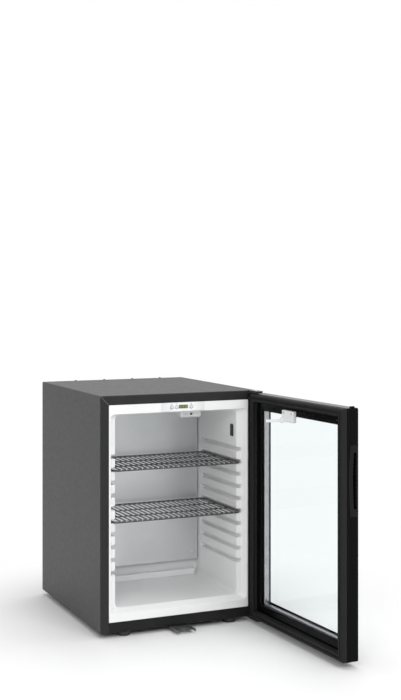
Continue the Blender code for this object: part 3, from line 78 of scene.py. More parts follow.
# The liner's inner form, measured from the casing's sides, top and foot.
MOUTH_IN = 0.026
MOUTH_DEEP = 0.0172
GROOVE_IN = 0.0316
WALL_IN = 0.0437
PAD_DEEP = WALL_IN - GROOVE_IN
OPENING_DOWN = 0.044
CEILING_DOWN = 0.047
SILL_UP = 0.042
FLOOR_UP = 0.052
ROOM_DEEP = 0.256
ROOM_CORNER = 0.010
BACK_ROUND = 0.006
GROOVES_DOWN = 0.139
GROOVE_HIGH = 0.010
GROOVE_PITCH = 0.030
GROOVE_COUNT = 10
GROOVE_DEEP = 0.222
LINER_THICK = 0.0012

# Clearances between pieces, and how far a cutter stands out of what it cuts.
FIT = 0.0003
LOOSE = 0.0006
OUT = 0.001

# Edges that turn more than this many degrees are kept sharp.
SHARP = 35
SHARP_TURNED = 32
SHARP_WIRE = 50
SHARP_FINS = 40

AIM = {"Z": Matrix.Identity(4), "-Z": Matrix.Rotation(math.pi, 4, "X"),
       "Y": Matrix.Rotation(-math.pi / 2, 4, "X"), "-Y": Matrix.Rotation(math.pi / 2, 4, "X"),
       "X": Matrix.Rotation(math.pi / 2, 4, "Y")}


# Geometry helpers.

def way(node):
    """The matrix from a node's own coordinates to the world."""
    return DOOR_TO_WORLD if BODY_OF[node] in DOOR_BODIES else TO_WORLD


def own_box(node):
    """A node's lowest and highest corner in the cabinet's axes, with the door turned shut."""
    back = way(node).inverted()
    points = [back @ v.co for v in frame["nodes"][node].data.vertices]
    low = Vector([min(p[i] for p in points) for i in range(3)])
    high = Vector([max(p[i] for p in points) for i in range(3)])
    return low, high


def sized(node):
    """A node's lowest and highest corner, its middle and its size."""
    low, high = own_box(node)
    return low, high, (low + high) / 2, high - low


def placed(name, data):
    """A new object in the scene."""
    made = bpy.data.objects.new(name, data)
    bpy.context.scene.collection.objects.link(made)
    return made


def evaluated(made, *helpers):
    """An object's mesh with its modifiers applied. The object and its helpers go."""
    graph = bpy.context.evaluated_depsgraph_get()
    mesh = bpy.data.meshes.new_from_object(made.evaluated_get(graph))
    for used in (made, *helpers):
        bpy.data.objects.remove(used, do_unlink=True)
    return mesh


def smoothed(mesh, sharp=SHARP):
    mesh.shade_smooth()
    mesh.set_sharp_from_angle(angle=math.radians(sharp))
    return mesh


def written(bm, sharp=SHARP):
    """A mesh from a bmesh, shaded smooth across edges below an angle in degrees."""
    bmesh.ops.recalc_face_normals(bm, faces=bm.faces)
    mesh = bpy.data.meshes.new("mesh")
    bm.to_mesh(mesh)
    bm.free()
    return smoothed(mesh, sharp)


def rounded(bm, edges, offset, steps):
    bmesh.ops.bevel(bm, geom=edges, offset=offset, offset_type="OFFSET", segments=steps,
                    profile=0.5, affect="EDGES", clamp_overlap=True)


def blocks(pairs, edge=0.0, steps=3):
    """Boxes between pairs of corners as one mesh, with their edges rounded."""
    bm = bmesh.new()
    for pair in pairs:
        low, high = map(Vector, pair)
        verts = bmesh.ops.create_cube(bm, size=1.0)["verts"]
        bmesh.ops.scale(bm, vec=high - low, verts=verts)
        bmesh.ops.translate(bm, vec=(high + low) / 2, verts=verts)
        if edge:
            rounded(bm, list({e for v in verts for e in v.link_edges}), edge, steps)
    return written(bm)


def block(low, high, edge=0.0, steps=3):
    return blocks([(low, high)], edge, steps)


def arc(cx, cy, radius, start, end, steps):
    angles = [math.radians(start + (end - start) * i / steps) for i in range(steps + 1)]
    return [(cx + radius * math.cos(a), cy + radius * math.sin(a)) for a in angles]


def outline(x0, x1, z0, z1, radius, steps=6):
    """Points round a rectangle with arcs at its corners, from the right of its top corner."""
    radius = max(radius, 0.0001)
    points = []
    for quarter, (cx, cz) in enumerate(((x1 - radius, z1 - radius), (x0 + radius, z1 - radius),
                                        (x0 + radius, z0 + radius), (x1 - radius, z0 + radius))):
        points += arc(cx, cz, radius, 90 * quarter, 90 * quarter + 90, steps)
    return points


def opening(node, gap, front, back):
    """A cutter round a node's box, with a gap, between two places along Y."""
    low, high = own_box(node)
    return block((low.x - gap, front, low.z - gap), (high.x + gap, back, high.z + gap))


def across(flat, y):
    """A flat outline's points at one place along Y."""
    return [(x, y, z) for x, z in flat]


def skinned(loops, closed=False, turned_round=False):
    """A bmesh with faces between matching loops in order, and its rows of vertices."""
    bm = bmesh.new()
    rows = [[bm.verts.new(point) for point in loop] for loop in loops]
    count = len(rows[0])
    for one, two in zip(rows, rows[1:] + (rows[:1] if closed else [])):
        for i in range(count):
            j = (i + 1) % count
            a, b, c, d = one[i], one[j], two[j], two[i]
            bm.faces.new((a, d, c, b) if turned_round else (a, b, c, d))
    return bm, rows


def loft(loops, closed=False):
    """Skins matching loops in order. The ends are capped unless the loops close."""
    bm, rows = skinned(loops, closed)
    if not closed:
        bm.faces.new(rows[0])
        bm.faces.new(rows[-1])
    return written(bm)


def loft_shell(loops, thick):
    """An open skin through loops, capped at its far end and thickened away from the room."""
    bm, rows = skinned(loops, turned_round=True)
    bm.faces.new(rows[-1][::-1])
    bm.normal_update()
    bm.faces.ensure_lookup_table()
    if bm.faces[0].normal.y > 0:
        bmesh.ops.reverse_faces(bm, faces=bm.faces)
    mesh = bpy.data.meshes.new("shell")
    bm.to_mesh(mesh)
    bm.free()
    made = placed("work", mesh)
    step = made.modifiers.new("Thickness", "SOLIDIFY")
    step.thickness = thick
    step.offset = -1.0
    return evaluated(made)


def slab(x0, x1, z0, z1, radius, y_front, y_back, edge=0.0003, steps=6):
    """A plate across Y with a rounded outline and softened rims."""
    stages = [(y_front, edge), (y_front + edge * 0.3, edge * 0.3), (y_front + edge, 0.0),
              (y_back - edge, 0.0), (y_back - edge * 0.3, edge * 0.3), (y_back, edge)]
    return loft([across(outline(x0 + inset, x1 - inset, z0 + inset, z1 - inset, radius - inset,
                                steps), y) for y, inset in stages])


def side_slab(y0, y1, z0, z1, radius, x_out, x_in, edge=0.0003, steps=6):
    """The same plate across X, as on the door's free edge."""
    mesh = slab(y0, y1, z0, z1, radius, x_out, x_in, edge, steps)
    mesh.transform(Matrix(((0, 1, 0, 0), (1, 0, 0, 0), (0, 0, 1, 0), (0, 0, 0, 1))))
    mesh.flip_normals()
    return mesh


def turned(profile, at=(0.0, 0.0, 0.0), up="Z", segments=48):
    """A solid of revolution from its radius and height points, its top pointing along up."""
    bm = bmesh.new()
    rows = [bm.verts.new((r, 0.0, h)) for r, h in profile]
    edges = [bm.edges.new(pair) for pair in zip(rows, rows[1:])]
    if profile[0][0] > 0:
        edges.append(bm.edges.new((rows[-1], rows[0])))
    bmesh.ops.spin(bm, geom=list(bm.verts) + edges, cent=(0, 0, 0), axis=(0, 0, 1),
                   angle=2 * math.pi, steps=segments, use_merge=True)
    bmesh.ops.remove_doubles(bm, verts=bm.verts, dist=0.000001)
    mesh = written(bm, SHARP_TURNED)
    mesh.transform(Matrix.Translation(at) @ AIM[up])
    return mesh


def rod(radius, long, at, up="Z", segments=32, edge=0.0):
    """A round bar centred on a point, with its rims broken by an edge."""
    half = long / 2
    profile = [(0, half), (radius - edge, half), (radius, half - edge), (radius, edge - half),
               (radius - edge, -half), (0, -half)]
    return turned(profile, at, up, segments)


def brim(radius, height, soft, steps=4):
    """The rounded upper rim of a profile."""
    return arc(radius - soft, height - soft, soft, 90, 0, steps)


def heel(radius, height, soft, steps=4):
    """The rounded lower rim of a profile."""
    return arc(radius - soft, height + soft, soft, 0, -90, steps)


def peg(radius, long, soft, steps=4):
    """The profile of a plain pin with a rounded top at nought."""
    return [(0, 0)] + brim(radius, 0, soft, steps) + [(radius, -long), (0, -long)]


def gathered(meshes):
    """A bmesh of several meshes, which are removed."""
    bm = bmesh.new()
    for mesh in meshes:
        bm.from_mesh(mesh)
        bpy.data.meshes.remove(mesh)
    return bm


def joined(meshes, sharp=SHARP):
    """Several meshes as one, without merging them."""
    return written(gathered(meshes), sharp)


def carved(mesh, *cutters, operation="DIFFERENCE"):
    """A mesh with others cut out of it, or united with it, as plain geometry."""
    made = placed("work", mesh)
    helpers = [placed("cutter", cutter) for cutter in cutters]
    for helper in helpers:
        step = made.modifiers.new("Boolean", "BOOLEAN")
        step.operation = operation
        step.solver = "EXACT"
        step.object = helper
    return smoothed(evaluated(made, *helpers))


def bent(points, bend, steps=6, cyclic=False):
    """A polyline with each corner rounded to a bend radius."""
    count = len(points)
    path = []
    for i, point in enumerate(points):
        here = Vector(point)
        if not cyclic and i in (0, count - 1):
            path.append(here)
            continue
        into = (Vector(points[i - 1]) - here).normalized()
        out = (Vector(points[(i + 1) % count]) - here).normalized()
        half = into.angle(out) / 2
        if half > math.radians(89):
            path.append(here)
            continue
        start = here + into * bend / math.tan(half)
        end = here + out * bend / math.tan(half)
        centre = here + (into + out).normalized() * (bend / math.sin(half))
        sweep = math.pi - 2 * half
        for step in range(steps + 1):
            share = step / steps
            path.append(centre + ((start - centre) * math.sin((1 - share) * sweep)
                                  + (end - centre) * math.sin(share * sweep)) / math.sin(sweep))
    return path


def wires(lines, cyclic=False, resolution=5):
    """Round wires as a mesh, from pairs of a radius and a list of points."""
    meshes = []
    for radius, points in lines:
        data = bpy.data.curves.new("wire", "CURVE")
        data.dimensions = "3D"
        data.bevel_depth = radius
        data.bevel_resolution = resolution
        data.use_fill_caps = True
        line = data.splines.new("POLY")
        line.points.add(len(points) - 1)
        for place, point in zip(line.points, points):
            place.co = (*point, 1.0)
        line.use_cyclic_u = cyclic
        meshes.append(evaluated(placed("wire", data)))
        bpy.data.curves.remove(data)
    bm = gathered(meshes)
    bmesh.ops.remove_doubles(bm, verts=bm.verts, dist=0.000001)
    return written(bm, SHARP_WIRE)


def softened(node, edge):
    """A copy of a node's mesh in its own coordinates, with its sharp edges rounded."""
    bm = bmesh.new()
    bm.from_mesh(frame["nodes"][node].data)
    bm.transform(way(node).inverted())
    bmesh.ops.remove_doubles(bm, verts=bm.verts, dist=0.000002)
    bmesh.ops.dissolve_limit(bm, angle_limit=math.radians(1), verts=bm.verts, edges=bm.edges)
    rounded(bm, [e for e in bm.edges if len(e.link_faces) == 2
                 and e.calc_face_angle(0) > math.radians(30)], edge, 2)
    return written(bm)


def piece(name, mesh, node, finish, replace=True):
    """Makes a piece that stands for a node: on its body and a finish."""
    made = placed(name, mesh)
    made.matrix_world = way(node)
    mesh.materials.clear()
    mesh.materials.append(material(finish))
    even = made.modifiers.new("Even normals", "WEIGHTED_NORMAL")
    even.keep_sharp = True
    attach(made, BODY_OF[node])
    if replace:
        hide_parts(node)


def detail(name, mesh, node, finish):
    """A small piece that adds to a node without standing for it."""
    piece(name, mesh, node, finish, replace=False)


# Material helpers.

def fill(tree, socket, value):
    """Links a socket to another one, or sets it to a number or a colour."""
    if isinstance(value, bpy.types.NodeSocket):
        tree.links.new(value, socket)
    elif socket.type == "RGBA":
        socket.default_value = (*value, 1.0)
    else:
        socket.default_value = value


def add_node(tree, kind, settings, *values, **named):
    """A node with its settings, its inputs in order and its inputs by name."""
    node = tree.nodes.new(kind)
    for key, value in settings.items():
        setattr(node, key, value)
    for socket, value in zip(node.inputs, values):
        fill(tree, socket, value)
    for key, value in named.items():
        fill(tree, node.inputs[key.replace("_", " ")], value)
    return node


def seen_by(tree, *rays):
    """One for camera rays and for the other rays named, and none for the rest."""
    path = add_node(tree, "ShaderNodeLightPath", {}).outputs
    value = path["Is Camera Ray"]
    for ray in rays:
        value = add_node(tree, "ShaderNodeMath", {"operation": "MAXIMUM"}, value,
                         path[f"Is {ray} Ray"]).outputs[0]
    return value


class Surface:
    """One material's node tree, with the parts that the finishes share."""

    def __init__(self, name, colour, roughness, metallic=0.0, **sockets):
        self.material = bpy.data.materials.new(name)
        self.material.use_nodes = True
        self.material.diffuse_color = (*colour, 1.0)
        self.tree = self.material.node_tree
        self.shader = self.tree.nodes["Principled BSDF"]
        self.put("Base Color", colour)
        self.put("Roughness", roughness)
        self.put("Metallic", metallic)
        for socket, value in sockets.items():
            self.put(socket.replace("_", " ").title().replace("Ior", "IOR"), value)
        self.place = self.add("ShaderNodeTexCoord").outputs["Object"]
        self.height = None

    def put(self, socket, value):
        fill(self.tree, self.shader.inputs[socket], value)

    def add(self, kind, settings=None, *values, **named):
        return add_node(self.tree, kind, settings or {}, *values, **named)

    def maths(self, operation, *values):
        return self.add("ShaderNodeMath", {"operation": operation}, *values).outputs[0]

    def grain(self, first, second, stretch=(1.0, 1.0, 1.0)):
        """A pattern as large as a size in metres, drawn out along an axis.

        It is noise from a size and a fineness, or from a word and a size the cells'
        distances or greys.
        """
        mapping = self.add("ShaderNodeMapping", Vector=self.place, Scale=stretch)
        place = mapping.outputs["Vector"]
        if first not in ("cells", "greys"):
            return self.add("ShaderNodeTexNoise", Vector=place, Scale=1.0 / first,
                            Detail=second).outputs["Fac"]
        cells = self.add("ShaderNodeTexVoronoi", Vector=place, Scale=1.0 / second).outputs
        if first == "cells":
            return cells["Distance"]
        return self.add("ShaderNodeSeparateColor", Color=cells["Color"]).outputs[0]

    def spread(self, factor, low, high, start=0.3, end=0.7):
        return self.add("ShaderNodeMapRange", Value=factor, From_Min=start, From_Max=end,
                        To_Min=low, To_Max=high).outputs["Result"]

    def colours(self, factor, one, two, start=0.3, end=0.7):
        ramp = self.add("ShaderNodeValToRGB", Fac=factor)
        for stop, place, colour in zip(ramp.color_ramp.elements, (start, end), (one, two)):
            stop.position = place
            stop.color = (*colour, 1.0)
        return ramp.outputs["Color"]

    def toned(self, factor, colour, tone):
        return self.colours(factor, shade(colour, 1 - tone), shade(colour, 1 + tone))

    def mixed(self, factor, one, two):
        node = self.add("ShaderNodeMix", {"data_type": "RGBA"})
        for place, value in ((0, factor), (6, one), (7, two)):
            fill(self.tree, node.inputs[place], value)
        return node.outputs[2]

    def edges(self, radius):
        """One along the object's edges and none on its faces."""
        round_normal = self.add("ShaderNodeBevel", {"samples": 4}, Radius=radius)
        flat = self.add("ShaderNodeNewGeometry")
        dot = self.add("ShaderNodeVectorMath", {"operation": "DOT_PRODUCT"},
                       round_normal.outputs["Normal"], flat.outputs["Normal"])
        return self.spread(dot.outputs["Value"], 1.0, 0.0, 0.75, 0.98)

    def raise_by(self, output, microns):
        """Adds a layer of relief, from its full height."""
        bump = self.add("ShaderNodeBump", Height=output, Distance=microns / 1000000)
        if self.height:
            fill(self.tree, bump.inputs["Normal"], self.height)
        self.height = bump.outputs["Normal"]
        self.put("Normal", self.height)


def shade(colour, share):
    return tuple(min(1.0, c * share) for c in colour)


def chosen(colour):
    """A colour as it is, or a share of one in the settings."""
    if isinstance(colour[0], str):
        path, share = colour
        return shade(bpy.context.scene.path_resolve(path), share)
    return colour


CASING = ("minibar_cabinet.casing_colour", 1)
RIM = ("minibar_cabinet.rim_colour", 1)
# The base is sprayed a darker share of the rim colour: painted shade on the lowest band of the
# front.
SHADED_RIM = ("minibar_cabinet.rim_colour", 0.8)
LINER = "minibar_cabinet.liner_colour"


def moulded(name, colour, low, high, grain, microns, tone=0.06, edge=0.35, specular=0.5,
            rim=None):
    """A moulded or painted finish: grain, slow tone changes and paler edges, which are edge wear
    and, on the frame and pull plastics, a painted highlight.

    With a rim colour, what faces the front is sprayed with it.
    """
    colour = chosen(colour)
    s = Surface(name, colour, (low + high) / 2, specular_ior_level=specular)
    slow = s.grain(0.07, 2.0)
    # Paler edges: edge wear, and on the frame and pull plastics a painted highlight along every
    # edge.
    paint = s.mixed(s.edges(0.0006), s.toned(slow, colour, tone), shade(colour, 1 + edge))
    if rim:
        back = s.add("ShaderNodeSeparateXYZ", Vector=s.place).outputs["Y"]
        front = s.spread(back, 1.0, 0.0, 0.0007, 0.0013)
        paint = s.mixed(front, paint, s.toned(slow, chosen(rim), 0.06))
    s.put("Base Color", paint)
    s.put("Roughness", s.spread(s.grain(0.012, 4.0), low, high))
    s.raise_by(s.grain(grain, 2.0), microns)
    s.raise_by(s.grain(0.03, 1.0), 60)
    return s.material


# Each row: colour, lowest and highest roughness, grain in metres and its depth in microns,
# change of tone, paleness of the edges (edge wear; on the frame and pull plastics a painted
# highlight), specular level and the rim's colour.
MOULDED = {
    "casing paint": (CASING, 0.44, 0.52, 0.0009, 3, 0.06, 0.35, 0.3),
    "casing wrap paint": (CASING, 0.44, 0.52, 0.0009, 3, 0.05, 0.5, 0.34, RIM),
    # Painted shade: the rim's paint, darkened for the base.
    "base paint": (SHADED_RIM, 0.44, 0.52, 0.0009, 3, 0.06, 0.35, 0.2),
    # The frame plastic's pale edges are a painted highlight.
    "frame plastic": (("minibar_door.frame_colour", 1), 0.16, 0.22, 0.0005, 2, 0.06, 2.0, 0.05),
    "seal rubber": (("minibar_door.seal_colour", 1), 0.55, 0.66, 0.0004, 6, 0.1, 0.6, 0.1),
    "white plastic": ((0.84, 0.85, 0.86), 0.3, 0.42, 0.0006, 5, 0.02, 0.05),
    "dark plastic": ((0.022, 0.022, 0.024), 0.3, 0.42, 0.0004, 8, 0.06, 1.0, 0.35),
    # The pull plastic's much paler edges are a painted highlight.
    "pull plastic": ((0.008, 0.008, 0.0084), 0.14, 0.2, 0.0006, 3, 0.06, 6.0, 0.13),
    "cap plastic": ((0.70, 0.70, 0.715), 0.3, 0.4, 0.0005, 4, 0.02, 0.1),
    "button plastic": ((0.07, 0.07, 0.075), 0.3, 0.42, 0.0003, 6),
    "foot rubber": ((0.025, 0.025, 0.026), 0.6, 0.78, 0.0006, 30, 0.2, 0.4),
    # Print on the strip, and the dark discs of painted shade on the glass spacer.
    "print ink": ((0.09, 0.09, 0.1), 0.4, 0.5, 0.0003, 4),
    # Painted shadow under the buttons.
    "grey ink": ((0.24, 0.24, 0.25), 0.4, 0.5, 0.0003, 4),
    "border enamel": ((0.004, 0.004, 0.0043), 0.2, 0.3, 0.0004, 2, 0.06, 0.35, 0.05),
}


def flecked(name, base, tones, rough, *relief, edge=None, **sockets):
    """A finish that wanders between two tones, with uneven gloss and fine relief.

    The base is its colour, roughness and metal share. Each other group begins with the
    arguments of its grain. Relief is in microns.
    """
    s = Surface(name, chosen(base[0]), *base[1:], **sockets)
    if tones:
        grain, one, two, *ends = tones
        tone = s.colours(s.grain(*grain), chosen(one), chosen(two), *ends)
        s.put("Base Color", s.mixed(s.edges(edge[0]), tone, edge[1]) if edge else tone)
    grain, *levels = rough
    s.put("Roughness", s.spread(s.grain(*grain), *levels))
    for grain, microns in relief:
        s.raise_by(s.grain(*grain), microns)
    return s.material


ROLLED = (0.0012, 3.0, (0.03, 1.0, 1.0))
SPANGLE = ("greys", 0.009)
TRACKS = ("cells", 0.004, (1.0, 1.0, 3.0))
PORES = ("cells", 0.0012)

FLECKED = {
    "dark plate": (((0.15, 0.15, 0.152), 0.36, 0.6),
                   ((0.01, 3.0), (0.12, 0.12, 0.122), (0.19, 0.19, 0.192)),
                   ((0.004, 3.0), 0.28, 0.46), ((0.0008, 2.0), 8),
                   {"edge": (0.0005, (0.4, 0.4, 0.4))}),
    "dark screw": (((0.06, 0.06, 0.062), 0.34, 0.7),
                   ((0.003, 3.0), (0.045, 0.045, 0.047), (0.08, 0.08, 0.082)),
                   ((0.002, 3.0), 0.26, 0.42), ((0.0006, 2.0), 6),
                   {"edge": (0.0004, (0.35, 0.35, 0.34))}),
    "bright zinc": (((0.66, 0.66, 0.65), 0.3, 1.0),
                    ((0.004, 3.0), (0.58, 0.58, 0.58), (0.72, 0.72, 0.7)),
                    ((0.003, 3.0), 0.2, 0.38), ((0.0008, 2.0), 10), {}),
    "zinc sheet": (((0.56, 0.57, 0.59), 0.4, 1.0),
                   (SPANGLE, (0.48, 0.49, 0.51), (0.64, 0.65, 0.67), 0.1, 0.9),
                   (SPANGLE, 0.32, 0.48, 0.1, 0.9), ((0.0015, 3.0), 12), {}),
    "rolled aluminium": (((0.7, 0.71, 0.725), 0.39, 1.0),
                         ((0.12, 2.0), (0.67, 0.68, 0.695), (0.73, 0.74, 0.755)),
                         (ROLLED, 0.34, 0.44), (ROLLED, 10), {}),
    "polished steel": (((0.74, 0.74, 0.75), 0.16, 1.0),
                       ((0.006, 3.0), (0.68, 0.68, 0.69), (0.78, 0.78, 0.79)),
                       ((0.004, 4.0), 0.1, 0.24), ((0.0006, 2.0), 4), {}),
    "spacer metal": (((0.46, 0.455, 0.47), 0.3, 1.0),
                     ((0.02, 3.0), (0.42, 0.415, 0.43), (0.50, 0.495, 0.51)),
                     ((0.0008, 3.0), 0.22, 0.34), ((0.0008, 3.0), 15), {}),
    "coated wire": (((0.03, 0.03, 0.032), 0.3),
                    ((0.01, 3.0), (0.024, 0.024, 0.026), (0.045, 0.045, 0.048)),
                    ((0.004, 3.0), 0.22, 0.4), ((0.0011, 2.0), 30),
                    {"coat_weight": 0.4, "coat_roughness": 0.15}),
    "liner plastic": (((LINER, 1), 0.34), ((0.12, 2.0), (LINER, 0.975), (LINER, 1.01)),
                      ((0.02, 4.0), 0.28, 0.40), ((0.0009, 2.0), 5), ((0.022, 1.0), 50), {}),
    "yellow foam": (((0.8, 0.66, 0.36), 0.9),
                    ((0.03, 4.0), (0.72, 0.58, 0.3), (0.86, 0.74, 0.44)),
                    (PORES, 0.8, 0.98), (PORES, 400), {}),
    "circuit board": (((0.03, 0.18, 0.07), 0.45),
                      (TRACKS, (0.06, 0.30, 0.12), (0.02, 0.14, 0.05), 0.35, 0.5),
                      (TRACKS, 0.3, 0.55), (TRACKS, 50), {}),
    "display glass": (((0.25, 0.29, 0.10), 0.12),
                      ((0.01, 2.0), (0.21, 0.245, 0.08), (0.31, 0.35, 0.13)),
                      ((0.004, 3.0), 0.06, 0.16), ((0.004, 1.0), 4), {}),
    "display digit": (((0.02, 0.025, 0.01), 0.4),
                      ((0.002, 2.0), (0.016, 0.02, 0.008), (0.03, 0.036, 0.016)),
                      ((0.001, 2.0), 0.35, 0.5), ((0.0003, 1.0), 3), {}),
    "clear glass": ((("minibar_door.glass_tint", 1), 0.0), None, ((0.03, 3.0), 0.0, 0.012),
                    ((0.25, 1.0), 30), {"transmission_weight": 1.0, "ior": 1.12}),
    "lamp lens": (((0.93, 0.94, 0.94), 0.3), None, ((0.01, 3.0), 0.25, 0.4),
                  (("cells", 0.0015), 150), {"transmission_weight": 0.6, "ior": 1.49}),
}


def unit_paint(name):
    """Black paint with dust on it."""
    s = Surface(name, (0.028, 0.028, 0.03), 0.55)
    dust = s.spread(s.grain(0.02, 5.0), 0.0, 0.5, 0.45, 0.75)
    s.put("Base Color", s.mixed(dust, (0.022, 0.022, 0.024), (0.06, 0.058, 0.054)))
    s.put("Roughness", s.spread(s.grain(0.01, 4.0), 0.42, 0.66))
    s.raise_by(s.grain(0.0012, 3.0), 30)
    return s.material


def strip_film_shaded_ends(name):
    """The film on the control strip, with painted shade that greys it towards its ends."""
    s = Surface(name, (0.7, 0.71, 0.72), 0.36)
    _, _, middle, size = sized("control_panel")
    along = s.add("ShaderNodeSeparateXYZ", Vector=s.place).outputs["X"]
    far = s.maths("ABSOLUTE", s.maths("SUBTRACT", along, middle.x))
    share = s.spread(far, 0.0, 1.0, 0.02, size.x / 2)
    # Painted shade: the film is darker towards the strip's ends than in its middle.
    s.put("Base Color", s.colours(share, (0.92, 0.92, 0.925), (0.76, 0.76, 0.765), 0.0, 1.0))
    s.put("Roughness", s.spread(s.grain(0.006, 3.0), 0.3, 0.44))
    s.raise_by(s.grain(0.0003, 2.0), 6)
    return s.material


def studio_floor(name):
    """Pale floor that ends in pure white away from the object, for what looks at it."""
    look = bpy.context.scene.minibar_stage
    colour = chosen(("minibar_stage.floor_colour", 1))
    s = Surface(name, colour, 0.6)
    s.put("Base Color", s.colours(s.grain(0.8, 2.0), shade(colour, 0.995), colour))
    s.put("Roughness", s.spread(s.grain(0.2, 2.0), 0.55, 0.7))
    far = s.add("ShaderNodeVectorMath", {"operation": "LENGTH"}, s.place)
    away = s.add("ShaderNodeMapRange", {"interpolation_type": "SMOOTHSTEP"},
                 Value=far.outputs["Value"], From_Min=look.floor_clear,
                 From_Max=look.floor_clear * 2)
    share = s.maths("MULTIPLY", seen_by(s.tree, "Glossy", "Transmission"),
                    away.outputs["Result"])
    white = s.add("ShaderNodeEmission", Color=(1.0, 1.0, 1.0), Strength=1.0)
    ends = s.add("ShaderNodeMixShader", {}, share, s.shader.outputs[0], white.outputs[0])
    fill(s.tree, s.tree.nodes["Material Output"].inputs["Surface"], ends.outputs[0])
    return s.material


OTHERS = {"unit paint": unit_paint, "strip film": strip_film_shaded_ends, "studio floor": studio_floor}
MADE = {}


def material(name):
    """The one material of a finish, made when it is first asked for."""
    if name not in MADE:
        if name in OTHERS:
            MADE[name] = OTHERS[name](name)
        elif name in MOULDED:
            MADE[name] = moulded(name, *MOULDED[name])
        else:
            *row, more = FLECKED[name]
            MADE[name] = flecked(name, *row, **more)
    return MADE[name]


# The cabinet.

# The seams in the rim's top corners: half their width, then where they start and end.
SEAM_GAP = (0.0009, -0.0008, 0.0008)
SEAM_FILL = (0.00085, 0.0003, 0.0009)
SEAM_SHORT = 0.003

# Screws: radius and height of their heads.
PLATE_SCREW = (0.0032, 0.0011)
ARM_SCREW = (0.0024, 0.0007)
BOX_SCREW = (0.0028, 0.001)


def seam(x, z, lean, long, half, front, back):
    """A narrow bar lying in the front face, leaning by an angle."""
    mesh = block((-long / 2, front, -half), (long / 2, back, half))
    mesh.transform(Matrix.Translation((x, 0, z)) @ Matrix.Rotation(lean, 4, "Y"))
    return mesh


class MINIBAR_OT_casing(bpy.types.Operator):
    """Folded steel wrap with rounded folds, corner seams and rear returns"""
    bl_idname = "minibar.casing"
    bl_label = "Casing"

    def execute(self, context):
        look = context.scene.minibar_cabinet
        low, high = own_box("outer_casing")
        sheet, rim, fold = look.sheet, look.rim_side, look.rear_return
        under = low.z - sheet
        lean = math.atan2(look.rim_top, rim)
        long = math.hypot(look.rim_top, rim)
        height = high.z - look.rim_top / 2
        corners = [(rim / 2, height, lean), (high.x - rim / 2, height, -lean)]
        gaps = [seam(*corner, long, *SEAM_GAP) for corner in corners]
        shell = carved(
            block(low, high, look.casing_round, 5),
            block((sheet, sheet, under), (high.x - sheet, high.y - sheet, high.z - sheet)),
            block((rim, -sheet, under), (high.x - rim, 2 * sheet, high.z - look.rim_top)),
            block((fold, high.y - 2 * sheet, under),
                  (high.x - fold, high.y + sheet, high.z - fold)),
            opening("top_hinge_plate", LOOSE, -sheet, 2 * sheet),
            *gaps)
        piece("casing_wrap", shell, "outer_casing", "casing wrap paint")
        sealant = [seam(*corner, long - SEAM_SHORT, *SEAM_FILL) for corner in corners]
        detail("casing_seam_sealant", joined(sealant), "outer_casing", "print ink")
        # The base tray's darker paint is painted shade.
        piece("base_tray", softened("base_panel", 0.00035), "base_panel", "base paint")
        return {"FINISHED"}


def groove_rows():
    """Heights and depths up the liner's wall: nought in a groove and one on a pad."""
    hollow, crown = 0.0015, 0.0022
    top = own_box("outer_casing")[1].z - GROOVES_DOWN
    rows = []
    for k in reversed(range(GROOVE_COUNT)):
        high = top - k * GROOVE_PITCH
        low = high - GROOVE_HIGH
        down = arc(low - crown, PAD_DEEP - crown, crown, 90, 0, 4)
        down += arc(low + hollow, hollow, hollow, 180, 270, 3)
        up = [(high + low - z, d) for z, d in reversed(down)]
        rows += [(z, d / PAD_DEEP) for z, d in down + up]
    return rows


def liner_stages(lip_low, lip_high, side, sill, floor, opening, ceiling):
    """The liner's section from front to back.

    Each stage: depth, side, floor, ceiling, corner, pads raised, grooves filled.
    """
    lip_corner, crown = 0.002, 0.0028
    stages = [(0.0, lip_low.x, lip_low.z, lip_high.z, lip_corner, 0, 0)]
    for y, out in ((0.0, 0.0012), (0.00015, 0.0006), (0.0006, 0.00015), (0.0012, -0.0003)):
        stages.append((y, MOUTH_IN - out, sill - out, opening + out, ROOM_CORNER, 0, 0))
    stages.append((MOUTH_DEEP - 0.0012, side - 0.0004, floor - 0.0007, ceiling + 0.0002,
                   ROOM_CORNER, 0, 0))
    room = (side, floor, ceiling, ROOM_CORNER)
    stages.append((MOUTH_DEEP - 0.0003, *room, 0, 0))
    front = [(0.0, 0.0003), (0.0002, PAD_DEEP - crown)]
    front += [(y + 0.0002, d) for y, d in arc(crown, PAD_DEEP - crown, crown, 165, 90, 5)]
    stages += [(MOUTH_DEEP + y, *room, d / PAD_DEEP, 0) for y, d in front]
    for y, share in ((-0.0022, 0.0), (-0.0008, 0.08), (0.0, 0.3), (0.0002, 0.8), (0.0012, 0.96),
                     (0.003, 1.0)):
        stages.append((GROOVE_DEEP + y, *room, 1, share))
    for lean in map(math.radians, (0, 30, 60, 90)):
        inset = BACK_ROUND * (1 - math.cos(lean))
        y = ROOM_DEEP - BACK_ROUND * (1 - math.sin(lean))
        stages.append((y, side + inset, floor + inset, ceiling - inset, ROOM_CORNER, 1, 1))
    return stages


